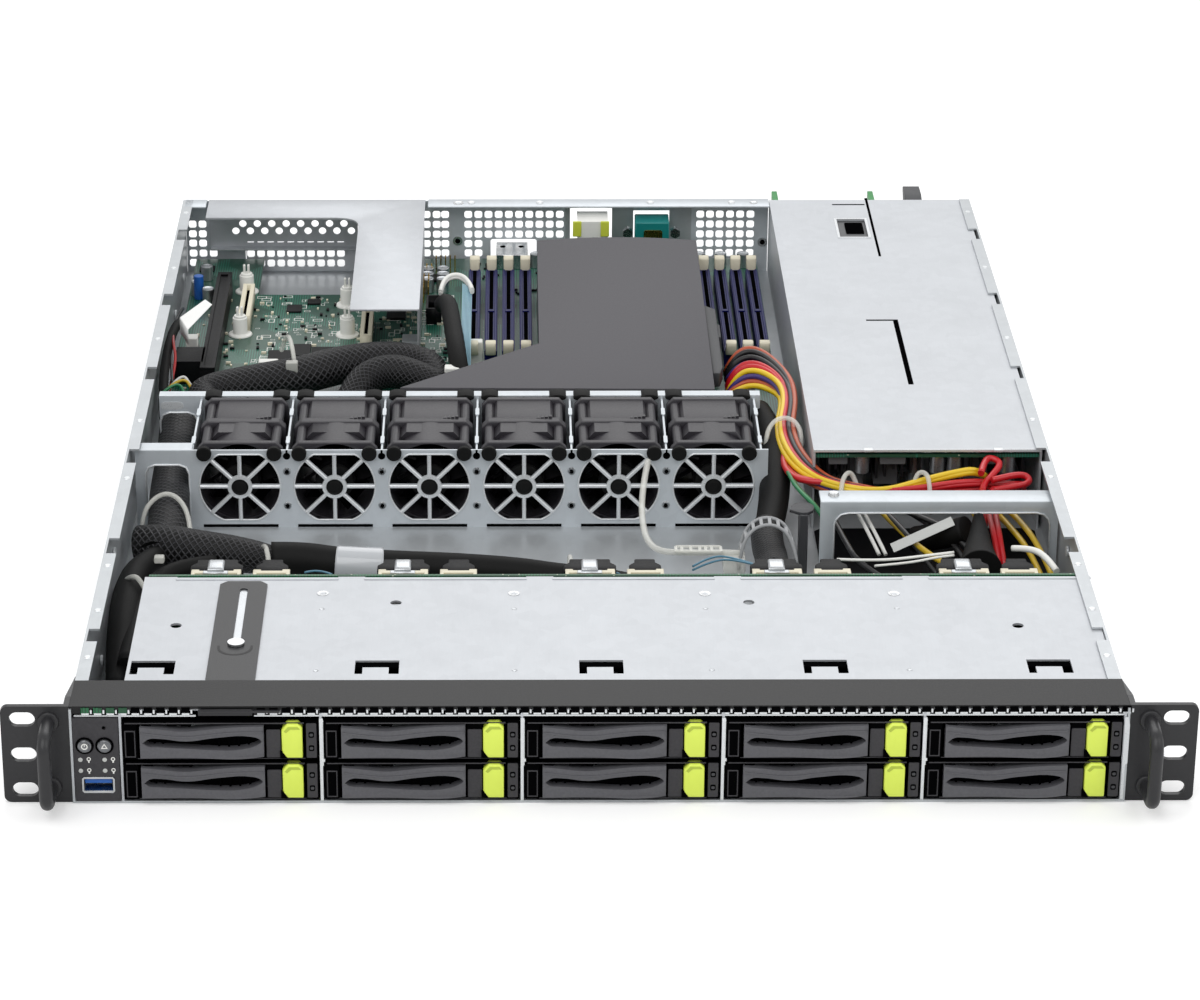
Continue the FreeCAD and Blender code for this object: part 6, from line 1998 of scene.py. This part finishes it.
        fit("white_ribbon_loop", cords(loop, 1.2), Finishes.white_nylon)
        thin = {"#b52a2a": [(-206, 404, 14), (-203, 420, 24), (-206, 436, 29), (-208, 460, 28)],
            "#d8d8d4": [(-208, 396, 16), (-200, 410, 23), (-195, 404, 18), (-190, 398, 13)],
            "#c9a81e": [(-209, 392, 18), (-199, 404, 24), (-193, 396, 18), (-188, 392, 12)],
            "#1f7a4a": [(-209, 386, 20), (-201, 398, 24), (-196, 388, 18), (-192, 380, 12)],
            "#1a1a1c": [(-204, 402, 18), (-207, 430, 28), (-208, 470, 27), (-206, 500, 22)]}
        for colour, points in thin.items():
            fit(f"thin_wires_{colour[1:]}", [tube("Wire", route(points, 8), 0.8, 6)],
                Finishes.wire(colour))

    def tie_bundles(self) -> None:
        """Adds the nylon ties round the bundles."""
        arcs = [[(84.6, 296, 24), (84.8, 303, 33), (88.6, 309, 38), (94.5, 312.8, 38.6),
            (99.9, 309, 37.6), (102.2, 301, 33), (101, 297, 26)], [(116, 243, 24),
            (116.4, 248, 32), (119, 254, 35), (122.4, 256.6, 34), (124.4, 254, 28)],
            [(149, 250, 26), (151, 253.6, 34), (154.6, 254, 36), (157.4, 249.4, 34),
            (157.2, 244, 26)], [(-205, 232, 12), (-205, 236, 22), (-200, 241.8, 28),
            (-193.4, 244.4, 30), (-187, 241, 27.5), (-182.6, 232, 22), (-181.6, 224, 12)],
            [(-147.4, 195, 24), (-146, 190, 28.6), (-144, 182, 28), (-143, 176, 22)],
            [(-206, 166, 22), (-203.6, 163.6, 25), (-199.6, 162.4, 25), (-195.4, 155, 20)],
            [(-151.4, 436, 24), (-148.6, 430, 34), (-146, 420, 37.6), (-143.6, 408, 32),
            (-142, 402, 22)], [(-9.6, 187, 20), (-9.4, 184, 25.6), (-9.2, 177, 27), (-9, 170, 23)]]
        ties = [tube("Tie", route(arc, 10), 1.15, 8) for arc in arcs]
        ties.append(soften(block("Head", (-147.4, 401, 25), (-141.4, 406, 31)), 0.7))
        ties.append(soften(block("Head", (-194.6, 178.6, 24), (-190, 183, 27)), 0.7))
        fit("nylon_ties", ties, Finishes.clear_nylon)

    def ladder(self, points: Sequence[Point], wide: float, rungs: int) -> Piece:
        """Makes a flat strap pierced like a ladder.

        Args:
            points: control points of its middle line, in mm.
            wide: its width, along Y, in mm.
            rungs: number of bars between its two rails.
        """
        path = route(points, 8)
        parts = []
        for side in (-1, 1):
            shift = Vector((0, side * wide / 2 * MM, 0))
            parts.append(tube("Rail", [p + shift for p in path], 0.85, 8))
        for step in range(rungs + 1):
            spot = path[round(step * (len(path) - 1) / rungs)] / MM
            parts.append(block("Rung", (spot.x - 0.7, spot.y - wide / 2, spot.z - 0.45),
                (spot.x + 0.7, spot.y + wide / 2, spot.z + 0.45)))
        return join("Ladder", parts)

    def add_straps(self) -> None:
        """Adds the grey strap round the sleeve, the clear strap and the thumb piece."""
        arch = self.ladder([(66, 185, 20), (67, 187, 29), (71, 190, 36.4), (78, 192, 39),
            (85.4, 192, 37), (90, 190, 31), (92, 186, 22)], 8, 9)
        fit("grey_strap", [arch], Finishes.grey_tie)
        path = [(28, 266, 36), (26, 254, 33), (24, 234, 28), (24.4, 214, 24), (27, 198, 24),
            (32, 189, 25), (39, 186, 26), (48, 185.6, 26), (58, 186, 26), (68, 187, 25)]
        clear = tube("Clear", route(path, 8), 1.5, 10)
        rungs = self.ladder([(38, 186, 27.4), (48, 185.8, 27.6), (58, 186, 27.4)], 5.6, 6)
        buckle = soften(block("Block", (59, 180, 18), (69, 191, 25)), 0.8)
        fit("clear_strap", [clear, rungs, buckle], Finishes.clear_nylon)
        thumb = plate("thumb_piece", Axis.Z, 33, 34.4, [(90.4, 214), (93, 220.6, 1),
            (97.6, 222.4, 1), (101.4, 219, 1), (101, 213), (97, 210.4, 1)])
        stem = block("Stem", (94.6, 210, 2), (98.8, 216, 33.4))
        fit("thumb_clip", [soften(thumb, 0.5), soften(stem, 0.5, 1)], Finishes.grip_grey)

    def add_flag(self) -> None:
        """Adds the folded marker flag, left blank, on the thin wires by the left wall."""
        flag = plate("wire_flag", Axis.Z, 0, 0.3, [(-202.8, 445.2), (-191.9, 470.6),
            (-187.9, 463.5), (-197.5, 428.6)])
        flag.data.transform(Matrix.Translation((0, 0, 38 * MM)))
        tail = plate("Tail", Axis.Z, 30, 38.1, [(-203, 445), (-202.6, 444.4), (-197.4, 428.4),
            (-197.8, 428.9)])
        fit("wire_flag", [flag, tail], Finishes.paper)


# ---------------- the whole server

def main() -> None:
    """Builds the studio and every sub-assembly."""
    logging.basicConfig(level=logging.INFO, format="%(name)s: %(message)s")
    for part in (Studio(), Enclosure(), DriveBays(), ControlPanel(), Backplane(), FanWall(),
            MainBoard(), RearEnd(), PowerBay(), CableRuns()):
        LOG.info("building %s", type(part).__name__)
        part.build()


if __name__ == "__main__":
    main()
